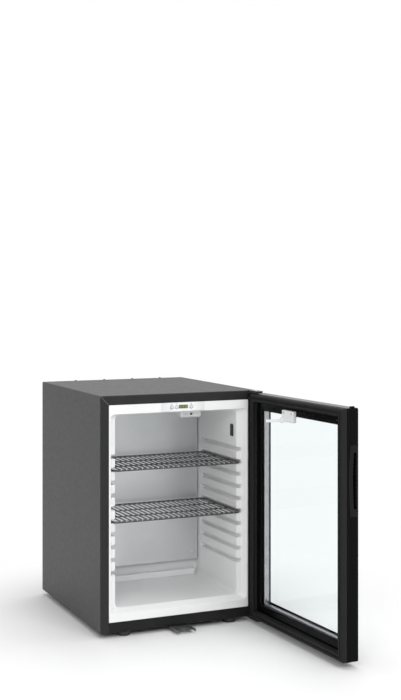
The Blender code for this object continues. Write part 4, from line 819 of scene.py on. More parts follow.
class MINIBAR_OT_liner(bpy.types.Operator):
    """Formed white liner: lip, flared mouth and rounded pads between the shelf grooves"""
    bl_idname = "minibar.liner"
    bl_label = "Liner"

    def execute(self, context):
        case_low, case_high = own_box("outer_casing")
        lip_low, lip_high = own_box("inner_liner")
        lip_high.z = case_high.z - context.scene.minibar_cabinet.rim_top - FIT
        width = case_high.x
        rows = groove_rows()
        loops = []
        for y, side, floor, ceiling, corner, raised, filled in liner_stages(
                lip_low, lip_high, GROOVE_IN, case_low.z + SILL_UP, case_low.z + FLOOR_UP,
                case_high.z - OPENING_DOWN, case_high.z - CEILING_DOWN):
            wall = side + PAD_DEEP * raised
            corners = outline(wall, width - wall, floor, ceiling, corner, 7)
            quarter = len(corners) // 4
            left = [(side + PAD_DEEP * raised * (d + (1 - d) * filled), z) for z, d in rows]
            right = [(width - x, z) for x, z in left]
            flat = (corners[:quarter] + [(width / 2, ceiling)] + corners[quarter:2 * quarter]
                    + left[::-1] + corners[2 * quarter:3 * quarter] + [(width / 2, floor)]
                    + corners[3 * quarter:] + right)
            loops.append(across(flat, y))
        shell = carved(loft_shell(loops, LINER_THICK),
                       opening("control_panel", FIT, -OUT, 0.003))
        piece("liner_shell", shell, "inner_liner", "liner plastic")
        return {"FINISHED"}


# How far printing stands out of the strip's face and reaches into it.
INK_OUT = 0.00004
INK_IN = 0.0001
FIGURE_OUT = 0.00008
BORDER_OUT = 0.00006


def printed(flat, y):
    """A film of ink on a face, from its outline."""
    return loft([across(flat, y - INK_OUT), across(flat, y + INK_IN)])


def mark(shape, x, z, size, y):
    """A flat printed mark on the strip: a wedge up or down, or a ring with a bar."""
    if shape == "ring":
        ring = arc(x, z, size, 120, 420, 14) + arc(x, z, size * 0.72, 420, 120, 14)
        bar = block((x - size * 0.14, y - INK_OUT, z + size * 0.2),
                    (x + size * 0.14, y + INK_IN, z + size * 1.15))
        return joined([printed(ring, y), bar])
    up = size if shape == "up" else -size
    return printed([(x - size, z - up * 0.5), (x + size, z - up * 0.5), (x, z + up * 0.6)], y)


def crescent(x, z, radius, y):
    """A painted shadow hugging the lower side of a button."""
    return printed(arc(x, z, radius + 0.0008, 195, 345, 20)
                   + arc(x, z + 0.0003, radius, 345, 195, 20), y)


# A figure's strokes: places across and up, as shares of its half size, and upright or not.
SEGMENTS = {"a": (0, 1, 0), "b": (0.5, 0.5, 1), "c": (0.5, -0.5, 1), "d": (0, -1, 0),
            "e": (-0.5, -0.5, 1), "f": (-0.5, 0.5, 1), "g": (0, 0, 0)}
DIGITS = {"0": "abcdef", "5": "afgcd"}


def digit(figure, x, z, size, y):
    """A seven-segment figure whose half height is a size."""
    bars = []
    for across_it, up, upright in map(SEGMENTS.get, DIGITS[figure]):
        cx, cz = x + across_it * size * 1.1, z + up * size
        wide, tall = (size * 0.2, size * 0.4) if upright else (size * 0.4, size * 0.2)
        bars.append(((cx - wide, y - FIGURE_OUT, cz - tall), (cx + wide, y, cz + tall)))
    return blocks(bars)


def button(node, shape, z, y):
    """Makes a button's cap, and gives the strip's hole, mark and painted shadow for it."""
    near, far, middle, _ = sized(node)
    x, face, back = middle.x, -near.y, -far.y
    radius, soft, stem = 0.0042, 0.0006, 0.0015
    collar, seat, under = 0.0052, -0.0026, -0.0036
    profile = [(0, face - 0.0004), (radius * 0.55, face - 0.00025)] + brim(radius, face, soft)
    profile += [(radius, seat), (collar, seat), (collar, under), (stem, under),
                (stem, back + 0.0002), (stem - 0.0002, back), (0, back)]
    piece(f"{node}_cap", turned(profile, (x, 0, z), "-Y"), node, "cap plastic")
    mark_up, mark_size = 0.0071, 0.0015
    return (rod(radius + LOOSE, 0.01, (x, 0, z), "Y", 40),
            mark(shape, x, z + mark_up, mark_size, y), crescent(x, z, radius + LOOSE, y))


def display(z):
    """The display's pane, with its figures, point and border."""
    low, high, pane, size = sized("display_window")
    piece("display_pane", slab(low.x, high.x, low.z, high.z, 0.0006, low.y, high.y, 0.0001),
          "display_window", "display glass")
    x, y = pane.x, low.y
    tall = size.z / 2 * 0.64
    gap, edge = 0.0003, 0.0009
    left, right, foot, top = low.x + gap, high.x - gap, low.z + gap, high.z - gap
    sill, lintel = low.z + edge, high.z - edge
    border = [((x0, y - BORDER_OUT, z0), (x1, y, z1)) for x0, z0, x1, z1 in (
        (left, foot, right, sill), (left, lintel, right, top),
        (left, sill, low.x + 3 * edge, lintel), (high.x - edge, sill, right, lintel))]
    point = [((x + 0.0068, y - FIGURE_OUT, z + 0.0012), (x + 0.0078, y, z + 0.0022))]
    figures = [digit("0", x - 0.0042, z, tall, y), digit("5", x + 0.0026, z, tall, y),
               blocks(border), blocks(point)]
    detail("display_figures", joined(figures), "display_window", "display digit")


class MINIBAR_OT_controls(bpy.types.Operator):
    """Control strip with its display, marks, board and three push buttons"""
    bl_idname = "minibar.controls"
    bl_label = "Controls"

    def execute(self, context):
        low, high, middle, _ = sized("control_panel")
        z = middle.z
        # rims are the grey crescents of painted shadow under the buttons.
        holes, marks, rims = zip(*(button(node, shape, z, low.y) for node, shape in (
            ("button_up", "up"), ("button_down", "down"), ("button_power", "ring"))))
        strip = slab(low.x, high.x, low.z, high.z, 0.0012, low.y, high.y, 0.00025)
        window = opening("display_window", FIT, -OUT, 0.005)
        piece("control_strip", carved(strip, window, *holes), "control_panel", "strip film")
        display(z)
        x = sized("display_window")[2].x
        pitch, wide = 0.003, 0.0012
        dashes = blocks([((x + k * pitch, low.y - INK_OUT, z - 0.0074),
                          (x + k * pitch + wide, low.y + INK_IN, z - 0.0070))
                         for k in range(-2, 3)])
        detail("strip_marks", joined([*marks, dashes]), "control_panel", "print ink")
        # The grey crescents under the buttons are painted shadow.
        detail("button_rims", joined(rims), "control_panel", "grey ink")
        low, high = own_box("control_board")
        wide = 0.006
        chips = [((low.x + place, low.y - 0.0012, z - 0.003),
                  (low.x + place + wide, low.y + 0.0002, z + 0.001))
                 for place in (0.012, 0.060, 0.085)]
        piece("board", block(low, high, 0.0002, 2), "control_board", "circuit board")
        detail("board_chips", blocks(chips, 0.0002, 1), "control_board", "button plastic")
        return {"FINISHED"}


def lamp_box():
    """The lamp's box with its vents, and the switch's collar and pin."""
    low, high = own_box("lamp_housing")
    pin_low, _, pin, size = sized("switch_plunger")
    radius, hole, soft = size.x / 2, size.x / 2 + FIT, 0.001
    at = (pin.x, low.y, pin.z)
    vents, start, pitch, wide, deep, margin = 5, 0.007, 0.0028, 0.0012, 0.0015, 0.004
    cutters = [rod(hole, 0.06, at, "Y", 32)]
    for k in range(vents):
        x = low.x + start + k * pitch
        cutters.append(block((x, low.y - OUT, low.z + margin),
                             (x + wide, low.y + deep, high.z - margin)))
    piece("lamp_box", carved(block(low, high, 0.0016, 4), *cutters), "lamp_housing",
          "white plastic")
    collar = [(hole, 0.0012), (radius + 0.0011, 0.0012), (radius + 0.0016, 0.0007),
              (radius + 0.0016, -0.001), (hole, -0.001)]
    detail("switch_collar", turned(collar, at, "-Y", 32), "lamp_housing", "white plastic")
    profile = peg(radius, size.y, soft)
    piece("switch_pin", turned(profile, (pin.x, pin_low.y, pin.z), "-Y", 32),
          "switch_plunger", "button plastic")


class MINIBAR_OT_lamp(bpy.types.Operator):
    """Lamp box with vents and a ribbed lens, the switch plunger and the sensor cover"""
    bl_idname = "minibar.lamp"
    bl_label = "Lamp and sensor"

    def execute(self, context):
        lamp_box()
        low, high, _, size = sized("lamp_lens")
        count, margin, proud = 12, 0.002, 0.0003
        pitch = (size.x - 2 * margin) / count
        half = pitch * 0.3
        ribs = [block(low, high, 0.0006, 3)]
        for k in range(count):
            x = low.x + margin + (k + 0.5) * pitch
            ribs.append(block((x - half, low.y + margin, low.z - proud),
                              (x + half, high.y - margin, low.z + proud), 0.0002, 2))
        piece("lamp_cover", joined(ribs), "lamp_lens", "lamp lens")
        low, high, _, size = sized("sensor_cover")
        count, deep, half = 6, 0.0014, 0.0008
        slots = []
        for k in range(count):
            z = low.z + size.z * (k + 1) / (count + 1)
            slots.append(block((low.x - OUT, low.y + margin, z - half),
                               (low.x + deep, high.y - margin, z + half), 0.0003, 2))
        piece("sensor_grille", carved(block(low, high, 0.0009, 4), *slots), "sensor_cover",
              "dark plastic")
        return {"FINISHED"}


def screw_head(at, up, radius, height):
    """A pan head with a cross recess, its top pointing along up."""
    profile = [(0, height), (radius * 0.5, height * 0.96), (radius * 0.8, height * 0.75),
               (radius * 0.96, height * 0.4), (radius, 0.0), (0, 0.0)]
    arm, thin = radius * 0.55, radius * 0.12
    head = carved(turned(profile, segments=28),
                  block((-arm, -thin, height * 0.45), (arm, thin, height * 2)),
                  block((-thin, -arm, height * 0.45), (thin, arm, height * 2)))
    head.transform(Matrix.Translation(at) @ AIM[up])
    return head


def screw_for(node, up):
    """A screw head that fills a node's box, standing on the face it points away from."""
    low, high, middle, size = sized(node)
    at = Vector((middle.x, middle.y, low.z if up == "Z" else high.z))
    return at, screw_head(at, up, size.x / 2, size.z)


class MINIBAR_OT_cold_plate(bpy.types.Operator):
    """Cooling plate with its turned edges and screws, and the gutter below it"""
    bl_idname = "minibar.cold_plate"
    bl_label = "Cooling plate"

    def execute(self, context):
        low, high = own_box("evaporator_plate")
        thick, beyond, in_x, in_z = 0.0012, 0.01, 0.014, 0.02
        plate = carved(block(low, high, 0.0014, 4),
                       block((low.x + thick, low.y + thick, low.z - beyond),
                             (high.x - thick, high.y + beyond, high.z + beyond)))
        piece("cold_plate", plate, "evaporator_plate", "rolled aluminium")
        screws = [screw_head((x, low.y, z), "-Y", *PLATE_SCREW)
                  for x in (low.x + in_x, high.x - in_x) for z in (low.z + in_z, high.z - in_z)]
        detail("cold_plate_screws", joined(screws), "evaporator_plate", "bright zinc")
        low, high = own_box("drain_gutter")
        wall = 0.0018
        gutter = carved(block(low, high, 0.0015, 4),
                        block(low + Vector((wall, wall, wall)),
                              (high.x - wall, high.y - wall, high.z + beyond), 0.001, 3))
        piece("gutter", gutter, "drain_gutter", "white plastic")
        return {"FINISHED"}


class MINIBAR_OT_shelves(bpy.types.Operator):
    """Two coated wire shelves with a rim wire, rods and braces, and bright rod ends"""
    bl_idname = "minibar.shelves"
    bl_label = "Shelves"

    def execute(self, context):
        pitch = context.scene.minibar_cabinet.wire_pitch
        rim, thin, bend, end, bite = 0.0025, 0.0015, 0.012, 0.0006, 0.0006
        braces = 2
        for node in ("shelf_upper", "shelf_lower"):
            low, high = own_box(node)
            left, front, z = low.x + rim, low.y + rim, low.z + rim
            right, back = high.x - rim, high.y - rim
            corners = [(left, front, z), (right, front, z), (right, back, z), (left, back, z)]
            loop = wires([(rim, bent(corners, bend, 8, True))], True, 6)
            rod_z = high.z - thin
            count = 2 * math.floor((right - left) / (2 * pitch) - 0.5) + 1
            places = [(left + right) / 2 + (k - (count - 1) / 2) * pitch for k in range(count)]
            lines = [(thin, [(x, low.y + end, rod_z), (x, back + rim / 2, rod_z)])
                     for x in places]
            brace_z = rod_z - 2 * thin + bite
            for k in range(1, braces + 1):
                y = front + (back - front) * k / (braces + 1)
                lines.append((thin, [(left, y, brace_z), (right, y, brace_z)]))
            piece(f"{node}_wires", joined([loop, wires(lines, False, 4)], SHARP_WIRE), node,
                  "coated wire")
            tip = [(0, 0.00045), (thin * 0.6, 0.0004), (thin * 0.9, 0.0002),
                   (thin * 0.96, -end), (0, -end)]
            ends = [turned(tip, (x, low.y + end, rod_z), "-Y", 16) for x in places]
            detail(f"{node}_wire_ends", joined(ends), node, "bright zinc")
        return {"FINISHED"}


class MINIBAR_OT_feet(bpy.types.Operator):
    """Four rubber feet with a stepped skirt and a moulded ring underneath"""
    bl_idname = "minibar.feet"
    bl_label = "Feet"

    def execute(self, context):
        for node in ("foot_front_left", "foot_front_right", "foot_rear_left",
                     "foot_rear_right"):
            _, high, middle, size = sized(node)
            r, top = size.x / 2, high.z
            neck, step, soft, groove = r * 0.86, 0.0012, 0.0008, 0.0004
            profile = [(0, top), (neck, top), (neck, top - step)]
            profile += brim(r, top - step, soft, 3)
            profile += [(r, 0.0042), (r - groove, 0.0039), (r - groove, 0.0034), (r, 0.0031)]
            profile += heel(r, 0, 0.0022, 5)
            profile += [(r * 0.62, 0.0), (r * 0.58, 0.0006), (r * 0.4, 0.0006), (r * 0.36, 0.0),
                        (0, 0.0)]
            piece(f"{node}_pad", turned(profile, (middle.x, middle.y, 0.0)), node, "foot rubber")
        return {"FINISHED"}


def tongue(low, high, back, edge=0.0003):
    """A flat tongue pointing forwards with a half round end and softened rims."""
    r = (high.x - low.x) / 2
    loops = []
    for z, inset in ((low.z, edge), (low.z + edge, 0.0), (high.z - edge, 0.0), (high.z, edge)):
        flat = [(low.x + inset, back - inset)]
        flat += arc((low.x + high.x) / 2, low.y + r, r - inset, 180, 360, 24)
        flat += [(high.x - inset, back - inset)]
        loops.append([(x, y, z) for x, y in flat])
    return loft(loops)


# Radii on the hinge's axis, and the length of the point on its pins.
SHAFT = 0.003
NOSE = 0.002
BORE = 0.0033
POINT = 0.001


def hinge_leaves():
    """The top hinge's plate with its tongue, and the cap over it."""
    low, high = own_box("top_hinge_plate")
    through = 0.04
    plate = carved(tongue(low, high, 0.004),
                   block((low.x, 0.002, low.z), high, 0.0003, 2), operation="UNION")
    hole = rod(BORE, through, (PIN_X, PIN_Y, low.z), "Z", 32)
    piece("top_hinge_leaf", carved(plate, hole), "top_hinge_plate", "casing paint")
    low, high = own_box("top_hinge_cap")
    hole = rod(BORE, through, (PIN_X, PIN_Y, low.z), "Z", 32)
    piece("top_hinge_cover", carved(tongue(low, high, high.y, 0.0007), hole), "top_hinge_cap",
          "frame plastic")


def hinge_part(name, profile, node, finish):
    """A turned piece on the hinge's axis."""
    piece(name, turned(profile, (PIN_X, PIN_Y, 0)), node, finish)


class MINIBAR_OT_hinges(bpy.types.Operator):
    """Hinge plates, cap and bright pins at the top and bottom of the door's edge"""
    bl_idname = "minibar.hinges"
    bl_label = "Hinges"

    def execute(self, context):
        hinge_leaves()
        low, high, _, size = sized("top_hinge_pin")
        head, top = size.x / 2, high.z
        profile = [(0, top - 0.00015), (head * 0.3, top - 0.0001), (head * 0.34, top),
                   (head - 0.0005, top)]
        profile += arc(head - 0.0003, top - 0.0003, 0.0003, 80, 0, 3)
        profile += [(head, top - 0.0007), (SHAFT, top - 0.0007), (SHAFT, low.z + POINT),
                    (NOSE, low.z), (0, low.z)]
        hinge_part("top_hinge_rivet", profile, "top_hinge_pin", "polished steel")
        piece("bottom_hinge_leaf", softened("bottom_hinge_plate", 0.0003),
              "bottom_hinge_plate", "casing paint")
        low, high = own_box("bottom_hinge_pin")
        foot, waist, head = low.z, 0.0022, 0.004
        profile = [(0, high.z), (NOSE, high.z), (SHAFT, high.z - POINT), (SHAFT, foot + 0.0044),
                   (waist, foot + 0.0042), (waist, foot + 0.001), (head, foot + 0.001),
                   (head, foot + 0.0004), (head - 0.0004, foot), (0, foot)]
        hinge_part("bottom_hinge_rivet", profile, "bottom_hinge_pin", "polished steel")
        sleeve, rim, step, soft = 0.0048, 0.0058, 0.0012, 0.0004
        low, high = own_box("top_hinge_bush")
        profile = [(BORE, high.z)] + brim(rim, high.z, soft, 3)
        profile += [(rim, high.z - step), (sleeve, high.z - step), (sleeve, low.z), (BORE, low.z)]
        hinge_part("top_hinge_bush_sleeve", profile, "top_hinge_bush", "dark plastic")
        low, high = own_box("bottom_hinge_bush")
        profile = [(BORE, high.z), (sleeve, high.z), (sleeve, low.z + step), (rim, low.z + step)]
        profile += heel(rim, low.z, soft, 3) + [(BORE, low.z)]
        hinge_part("bottom_hinge_bush_sleeve", profile, "bottom_hinge_bush", "dark plastic")
        return {"FINISHED"}


class MINIBAR_OT_striker(bpy.types.Operator):
    """Striker tray under the cabinet with its two screws, and the screws on the rear edge"""
    bl_idname = "minibar.striker"
    bl_label = "Striker and screws"

    def execute(self, context):
        piece("striker_tray", softened("lock_striker", 0.00025), "lock_striker", "dark plate")
        places = []
        for node, up in (("striker_screw_left", "-Z"), ("striker_screw_right", "-Z"),
                         ("rear_screw_left", "Z"), ("rear_screw_right", "Z")):
            at, head = screw_for(node, up)
            piece(f"{node}_head", head, node, "dark screw")
            places.append(at)
        *_, one, two = places
        size = sized("rear_screw_right")[3]
        more = [screw_head(two + k * (two - one), "Z", size.x / 2, size.z) for k in (1, 2)]
        detail("rear_screw_heads", joined(more), "outer_casing", "dark screw")
        return {"FINISHED"}


# The door.

# The pull's flange, and its bow towards the hand.
FLANGE_THICK = 0.0014
FLANGE_CORNER = 0.004
BOW = 0.0030


def door_ring(profile):
    """A ring round the shut door from its section, as margins in and places along Y."""
    corner = bpy.context.scene.minibar_door.corner_round
    low, high = own_box("door_outer_frame")
    return loft([across(outline(low.x + margin, high.x - margin, low.z + margin,
                                high.z - margin, corner - margin), y)
                 for margin, y in profile], closed=True)


def door_margin(node):
    """How far a node of the door lies in from the outer frame's side."""
    return own_box(node)[0].x - own_box("door_outer_frame")[0].x


def cup_box(margin=0.0):
    """The fingers' cup in the pull, with a margin: its ends along Y, then along Z."""
    look = bpy.context.scene.minibar_door
    _, high, middle, _ = sized("handle_insert")
    y1 = high.y - look.cup_in
    half = look.cup_height / 2
    return (y1 - look.cup_width - margin, y1 + margin, middle.z - half - margin,
            middle.z + half + margin)


class MINIBAR_OT_door_frame(bpy.types.Operator):
    """Moulded outer frame with its recess for the pull, and the inner frame in the seal"""
    bl_idname = "minibar.door_frame"
    bl_label = "Door frame"

    def execute(self, context):
        look = context.scene.minibar_door
        low, high = own_box("door_outer_frame")
        ledge = own_box("inner_glass")[1].y
        hold = door_margin("outer_glass") - FIT
        rebate = look.seal_width + FIT
        soft = look.edge_round
        profile = arc(soft, high.y - soft, soft, 90, 180, 2)
        profile += arc(soft, low.y + soft, soft, 180, 270, 3)
        profile += [(hold - 0.0006, low.y), (hold - 0.0001, low.y + 0.0002),
                    (hold, low.y + 0.0007), (hold, ledge), (rebate, ledge), (rebate, high.y)]
        beyond, cup_wall, rim_soft = 0.002, 0.0018, 0.0001
        out_x = low.x - beyond
        near, far = own_box("handle_insert")
        cuts = [side_slab(near.y - FIT, far.y + FIT, near.z - FIT, far.z + FIT,
                          FLANGE_CORNER + FIT, out_x, near.x + FLANGE_THICK + FIT, rim_soft),
                side_slab(*cup_box(cup_wall), 0.0055, out_x, far.x + FIT, rim_soft)]
        _, far, lock, size = sized("lock_barrel")
        cuts.append(rod(size.x / 2 + FIT, 2 * (far.y - low.y), (lock.x, low.y, lock.z), "Y", 48))
        near, far = own_box("lock_bolt")
        cuts.append(block((near.x - FIT, near.y - FIT, low.z - beyond),
                          (far.x + FIT, far.y + FIT, far.z + FIT)))
        bore, deep = 0.0051, 0.031
        cuts += [rod(bore, deep, (PIN_X, PIN_Y, z), "Z", 32) for z in (low.z, high.z)]
        piece("door_case", carved(door_ring(profile), *cuts), "door_outer_frame",
              "frame plastic")
        back, face = (corner.y for corner in own_box("door_inner_frame"))
        sight, end, soft = door_margin("door_inner_frame"), look.sight_margin, 0.0008
        wide = end - sight
        profile = [(sight, back), (sight, face - soft), (sight + soft * 0.3, face - soft * 0.3),
                   (sight + soft, face), (sight + wide * 0.55, face),
                   (sight + wide * 0.58, face - 0.0003), (sight + wide * 0.62, face - 0.0003),
                   (sight + wide * 0.65, face), (end - 0.0022, face),
                   (end - 0.0012, face - 0.0004), (end - 0.0004, face - 0.0012),
                   (end, face - 0.0022), (end, back)]
        piece("door_liner_frame", door_ring(profile), "door_inner_frame", "frame plastic")
        return {"FINISHED"}


class MINIBAR_OT_seal(bpy.types.Operator):
    """Magnetic seal with its bellows, running round the door's inner face"""
    bl_idname = "minibar.seal"
    bl_label = "Seal"

    def execute(self, context):
        wide = context.scene.minibar_door.seal_width
        root, face = (corner.y for corner in own_box("door_gasket"))
        soft = 0.006
        # The groove in the face, then the lip and the fold of the bellows: margin and drop.
        section = [(wide * 0.41, 0.0), (wide * 0.44, 0.0018), (wide * 0.50, 0.0024),
                   (wide * 0.56, 0.0018), (wide * 0.59, 0.0001), (wide * 0.70, 0.0),
                   (0.0158, 0.0002), (0.0172, 0.0007), (0.0180, 0.0016), (0.0182, 0.0030),
                   (0.0176, 0.0044), (0.0160, 0.0056), (0.0152, 0.0068), (0.0156, 0.0080),
                   (0.0172, 0.0088), (wide - 0.0008, 0.0096), (wide - 0.0008, face - root)]
        start = door_margin("door_gasket")
        profile = [(start, root)] + arc(start + soft, face - soft, soft, 180, 90, 6)
        profile += [(margin, face - drop) for margin, drop in section]
        piece("seal_ring", door_ring(profile), "door_gasket", "seal rubber")
        return {"FINISHED"}


# Where the enamel on the outer pane starts and ends behind the glass, and the spacer's
# holes and dimples, drawn as dark discs and cones of painted shade: both radii, depth and number
# of sides.
ENAMEL = (0.00002, 0.00008)
SPACER_HOLE = (0.0007, 0.0007, 0.0002, 10)
SPACER_DIMPLE = (0.0013, 0.0011, 0.0003, 16)


def pricked(bm, x, y, z, radius, tip, deep, segments):
    """Adds a small dark disc or cone of painted shade facing along Y to a bmesh."""
    bmesh.ops.create_cone(bm, cap_ends=True, segments=segments, radius1=radius, radius2=tip,
                          depth=deep, matrix=Matrix.Translation((x, y, z)) @ AIM["-Y"])


class MINIBAR_OT_glass(bpy.types.Operator):
    """Two panes with ground edges, and the drilled spacer that keeps them apart"""
    bl_idname = "minibar.glass"
    bl_label = "Glass unit"

    def execute(self, context):
        look = context.scene.minibar_door
        corner, ground = 0.0015, 0.0004
        for node, name in (("outer_glass", "front_pane"), ("inner_glass", "rear_pane")):
            low, high = own_box(node)
            piece(name, slab(low.x, high.x, low.z, high.z, corner, low.y, high.y, ground, 4),
                  node, "clear glass")
        inside = own_box("outer_glass")[1].y
        near, far = inside + ENAMEL[0], inside + ENAMEL[1]
        edge = door_margin("outer_glass")
        end = edge + look.border_width
        detail("pane_border", door_ring([(edge, near), (edge, far), (end, far), (end, near)]),
               "outer_glass", "border enamel")
        low, high = own_box("glass_spacer")
        start = door_margin("glass_spacer")
        wide, soft = look.spacer_width, 0.001
        end = start + wide
        profile = [(start, low.y), (start, high.y), (end - soft, high.y), (end, high.y - soft),
                   (end, low.y + soft), (end - soft, low.y)]
        piece("spacer_bar", door_ring(profile), "glass_spacer", "spacer metal")
        dots = bmesh.new()
        inset = wide * 0.7
        x0, x1, z0, z1 = low.x + inset, high.x - inset, low.z + inset, high.z - inset
        pitch = look.spacer_hole_pitch
        holes = [(x0 + (k + 0.5) * pitch, z) for k in range(int((x1 - x0) / pitch))
                 for z in (z0, z1)]
        holes += [(x, z0 + (k + 0.5) * pitch) for k in range(int((z1 - z0) / pitch))
                  for x in (x0, x1)]
        for x, z in holes:
            pricked(dots, x, high.y, z, *SPACER_HOLE)
        pitch = look.spacer_dimple_pitch
        inset = wide * 0.35
        z1 = high.z - inset
        for k in range(int((z1 - low.z - wide) / pitch)):
            for x in (low.x + inset, high.x - inset):
                pricked(dots, x, high.y, z1 - (k + 1) * pitch, *SPACER_DIMPLE)
        # The spacer's holes and dimples are dark discs and cones: painted shade.
        detail("spacer_holes", written(dots), "glass_spacer", "print ink")
        return {"FINISHED"}


def bowed_loop(x, y0, y1, z0, z1, radius, bow):
    """A rounded rectangle at one place along X whose inner edge bows between its corners."""
    steps = 12
    first, last = z0 + 1.5 * radius, z1 - 1.5 * radius
    return [(x, y, z) for y, z in outline(y0, y1 - bow, z0, z1, radius, 8) + [
        (y1 - bow * (2 * k / steps - 1) ** 2, first + (last - first) * k / steps)
        for k in range(1, steps)]]


class MINIBAR_OT_pull(bpy.types.Operator):
    """Recessed pull in the door's free edge, with a rounded flange and grip ribs"""
    bl_idname = "minibar.pull"
    bl_label = "Pull"

    def execute(self, context):
        low, high = own_box("handle_insert")
        wall, end, count = 0.0015, 0.006, 20
        cup_corner, body_corner = 0.0032, 0.0045
        flange = loft([bowed_loop(low.x + x, low.y + inset, high.y - inset, low.z + inset,
                                  high.z - inset, FLANGE_CORNER, BOW)
                       for x, inset in ((FLANGE_THICK, 0.0), (0.0006, 0.0), (0.0002, 0.0002),
                                        (0.0, 0.0007), (0.0, 0.0014))])
        body = side_slab(*cup_box(wall), body_corner, low.x + 0.0008, high.x, 0.0003, 8)
        hollow = loft([bowed_loop(x, *cup_box(), cup_corner, BOW * 0.7)
                       for x in (high.x - wall, low.x - OUT)])
        pull = carved(carved(flange, body, operation="UNION"), hollow)
        y, _, z0, z1 = cup_box()
        margin, half, proud = 0.002, 0.001, 0.0007
        ribs = []
        for k in range(count):
            z = z0 + end + (z1 - z0 - 2 * end) * (k + 0.5) / count
            ribs.append(block((low.x + margin, y - 0.0002, z - half),
                              (high.x - wall - margin, y + proud, z + half), 0.0003, 2))
        piece("pull_insert", joined([pull] + ribs), "handle_insert", "pull plastic")
        return {"FINISHED"}


def hole_plug():
    """The domed plug over the spare hinge hole."""
    low, _, plug, size = sized("corner_plug")
    half_x, half_y = size.x / 2, size.y / 2
    flat = outline(-half_x, half_x, -half_y, half_y, half_x * 0.9, 8)
    crown = ((0.0, 1.0), (0.6, 1.0), (0.85, 0.93), (0.96, 0.82), (1.0, 0.7))
    loops = [[(plug.x + a * share, plug.y + c * share, low.z + size.z * up)
              for a, c in flat] for up, share in crown]
    piece("hole_plug", loft(loops), "corner_plug", "frame plastic")


def switch_arm(thick):
    """The lamp switch's arm: a base with a rail and two screws, and a finger on a foot."""
    low, high = own_box("lamp_arm")
    face = low.y + thick
    pin = sized("switch_plunger")[2]
    half, tall, grow, root = 0.002, 0.003, 0.003, 0.002
    tip_low = Vector((pin.x - half, low.y + 0.004, pin.z - tall))
    tip_high = Vector((pin.x + half, high.y, pin.z + tall))
    base = block(low, (high.x, face, high.z), 0.0022, 4)
    rail = block((low.x + 0.004, face - root, low.z + 0.003),
                 (high.x - 0.004, face + 0.0008, low.z + 0.006), 0.0007, 3)
    finger = block(tip_low, tip_high, 0.0012, 4)
    foot = block((tip_low.x - grow, face - root, tip_low.z - grow),
                 (tip_high.x + grow, face + 0.0035, tip_high.z + grow), 0.001, 3)
    arm = carved(base, finger, foot, rail, operation="UNION")
    in_x, down = 0.008, 0.006
    places = [(x, high.z - down) for x in (low.x + in_x, high.x - in_x)]
    sink, deep = ARM_SCREW[0] + 0.0004, 0.001
    sinks = [rod(sink, 2 * deep, (x, face, z), "Y", 28) for x, z in places]
    piece("switch_arm", carved(arm, *sinks), "lamp_arm", "white plastic")
    screws = [screw_head((x, face - deep, z), "Y", *ARM_SCREW) for x, z in places]
    detail("switch_arm_screws", joined(screws), "lamp_arm", "bright zinc")


def lock():
    """The lock's collar, its plug with a keyhole, and the bolt with a lead at its end."""
    low, _, middle, size = sized("lock_barrel")
    at = (middle.x, low.y, middle.z)
    r, long, bore, lip = size.x / 2, size.y, 0.0063, 0.0004
    profile = [(bore, -lip), (bore + lip, 0)] + brim(r, 0, 0.0008)
    profile += [(r, -long), (bore, -long)]
    piece("lock_collar", turned(profile, at, "-Y", 64), "lock_barrel", "polished steel")
    plug = turned(peg(sized("lock_plug")[3].x / 2, long, 0.0005, 3), at, "-Y", 64)
    half, tall, deep, hole = 0.0007, 0.0035, 0.006, 0.0013
    slit = block((middle.x - half, low.y - 0.002, middle.z - tall),
                 (middle.x + half, low.y + deep, middle.z + tall))
    piece("lock_key_plug", carved(plug, slit, rod(hole, 2 * deep, at, "Y", 24)), "lock_plug",
          "polished steel")
    low, high = own_box("lock_bolt")
    lead = 0.0012
    bolt = carved(block(low, high, 0.0005, 3),
                  block((low.x - OUT, low.y - OUT, low.z - 0.0005),
                        (low.x + lead, high.y + OUT, low.z + lead)))
    piece("lock_bolt_bar", bolt, "lock_bolt", "bright zinc")


class MINIBAR_OT_door_fittings(bpy.types.Operator):
    """Plug over the spare hinge hole, lamp switch arm, lock barrel, plug and bolt"""
    bl_idname = "minibar.door_fittings"
    bl_label = "Door fittings"

    def execute(self, context):
        hole_plug()
        switch_arm(context.scene.minibar_door.arm_thick)
        lock()
        return {"FINISHED"}


# The cooling unit.

def boiler():
    """The boiler's can with two beads, a recess underneath and a seam strip."""
    low, high, can, size = sized("boiler_jacket")
    r, soft, step, bore, recess = size.x / 2, 0.005, 0.0008, 0.0066, 0.02
    profile = [(0, high.z - step), (r * 0.55, high.z - step), (r * 0.58, high.z)]
    profile += brim(r, high.z, soft, 6)
    for share in (0.86, 0.14):
        z = low.z + size.z * share
        profile += [(r, z + 0.004), (r - step, z + 0.003), (r - step, z - 0.003),
                    (r, z - 0.004)]
    profile += heel(r, low.z, soft, 6)
    profile += [(r * 0.5, low.z), (bore, low.z), (bore, low.z + recess), (0, low.z + recess)]
    half, end = 0.004, 0.012
    strip = block((can.x - half, can.y - r + 0.0005, low.z + end),
                  (can.x + half, can.y - r + 0.0036, high.z - end), 0.0002, 1)
    piece("boiler_can", joined([turned(profile, (can.x, can.y, 0.0), "Z", 72), strip]),
          "boiler_jacket", "zinc sheet")


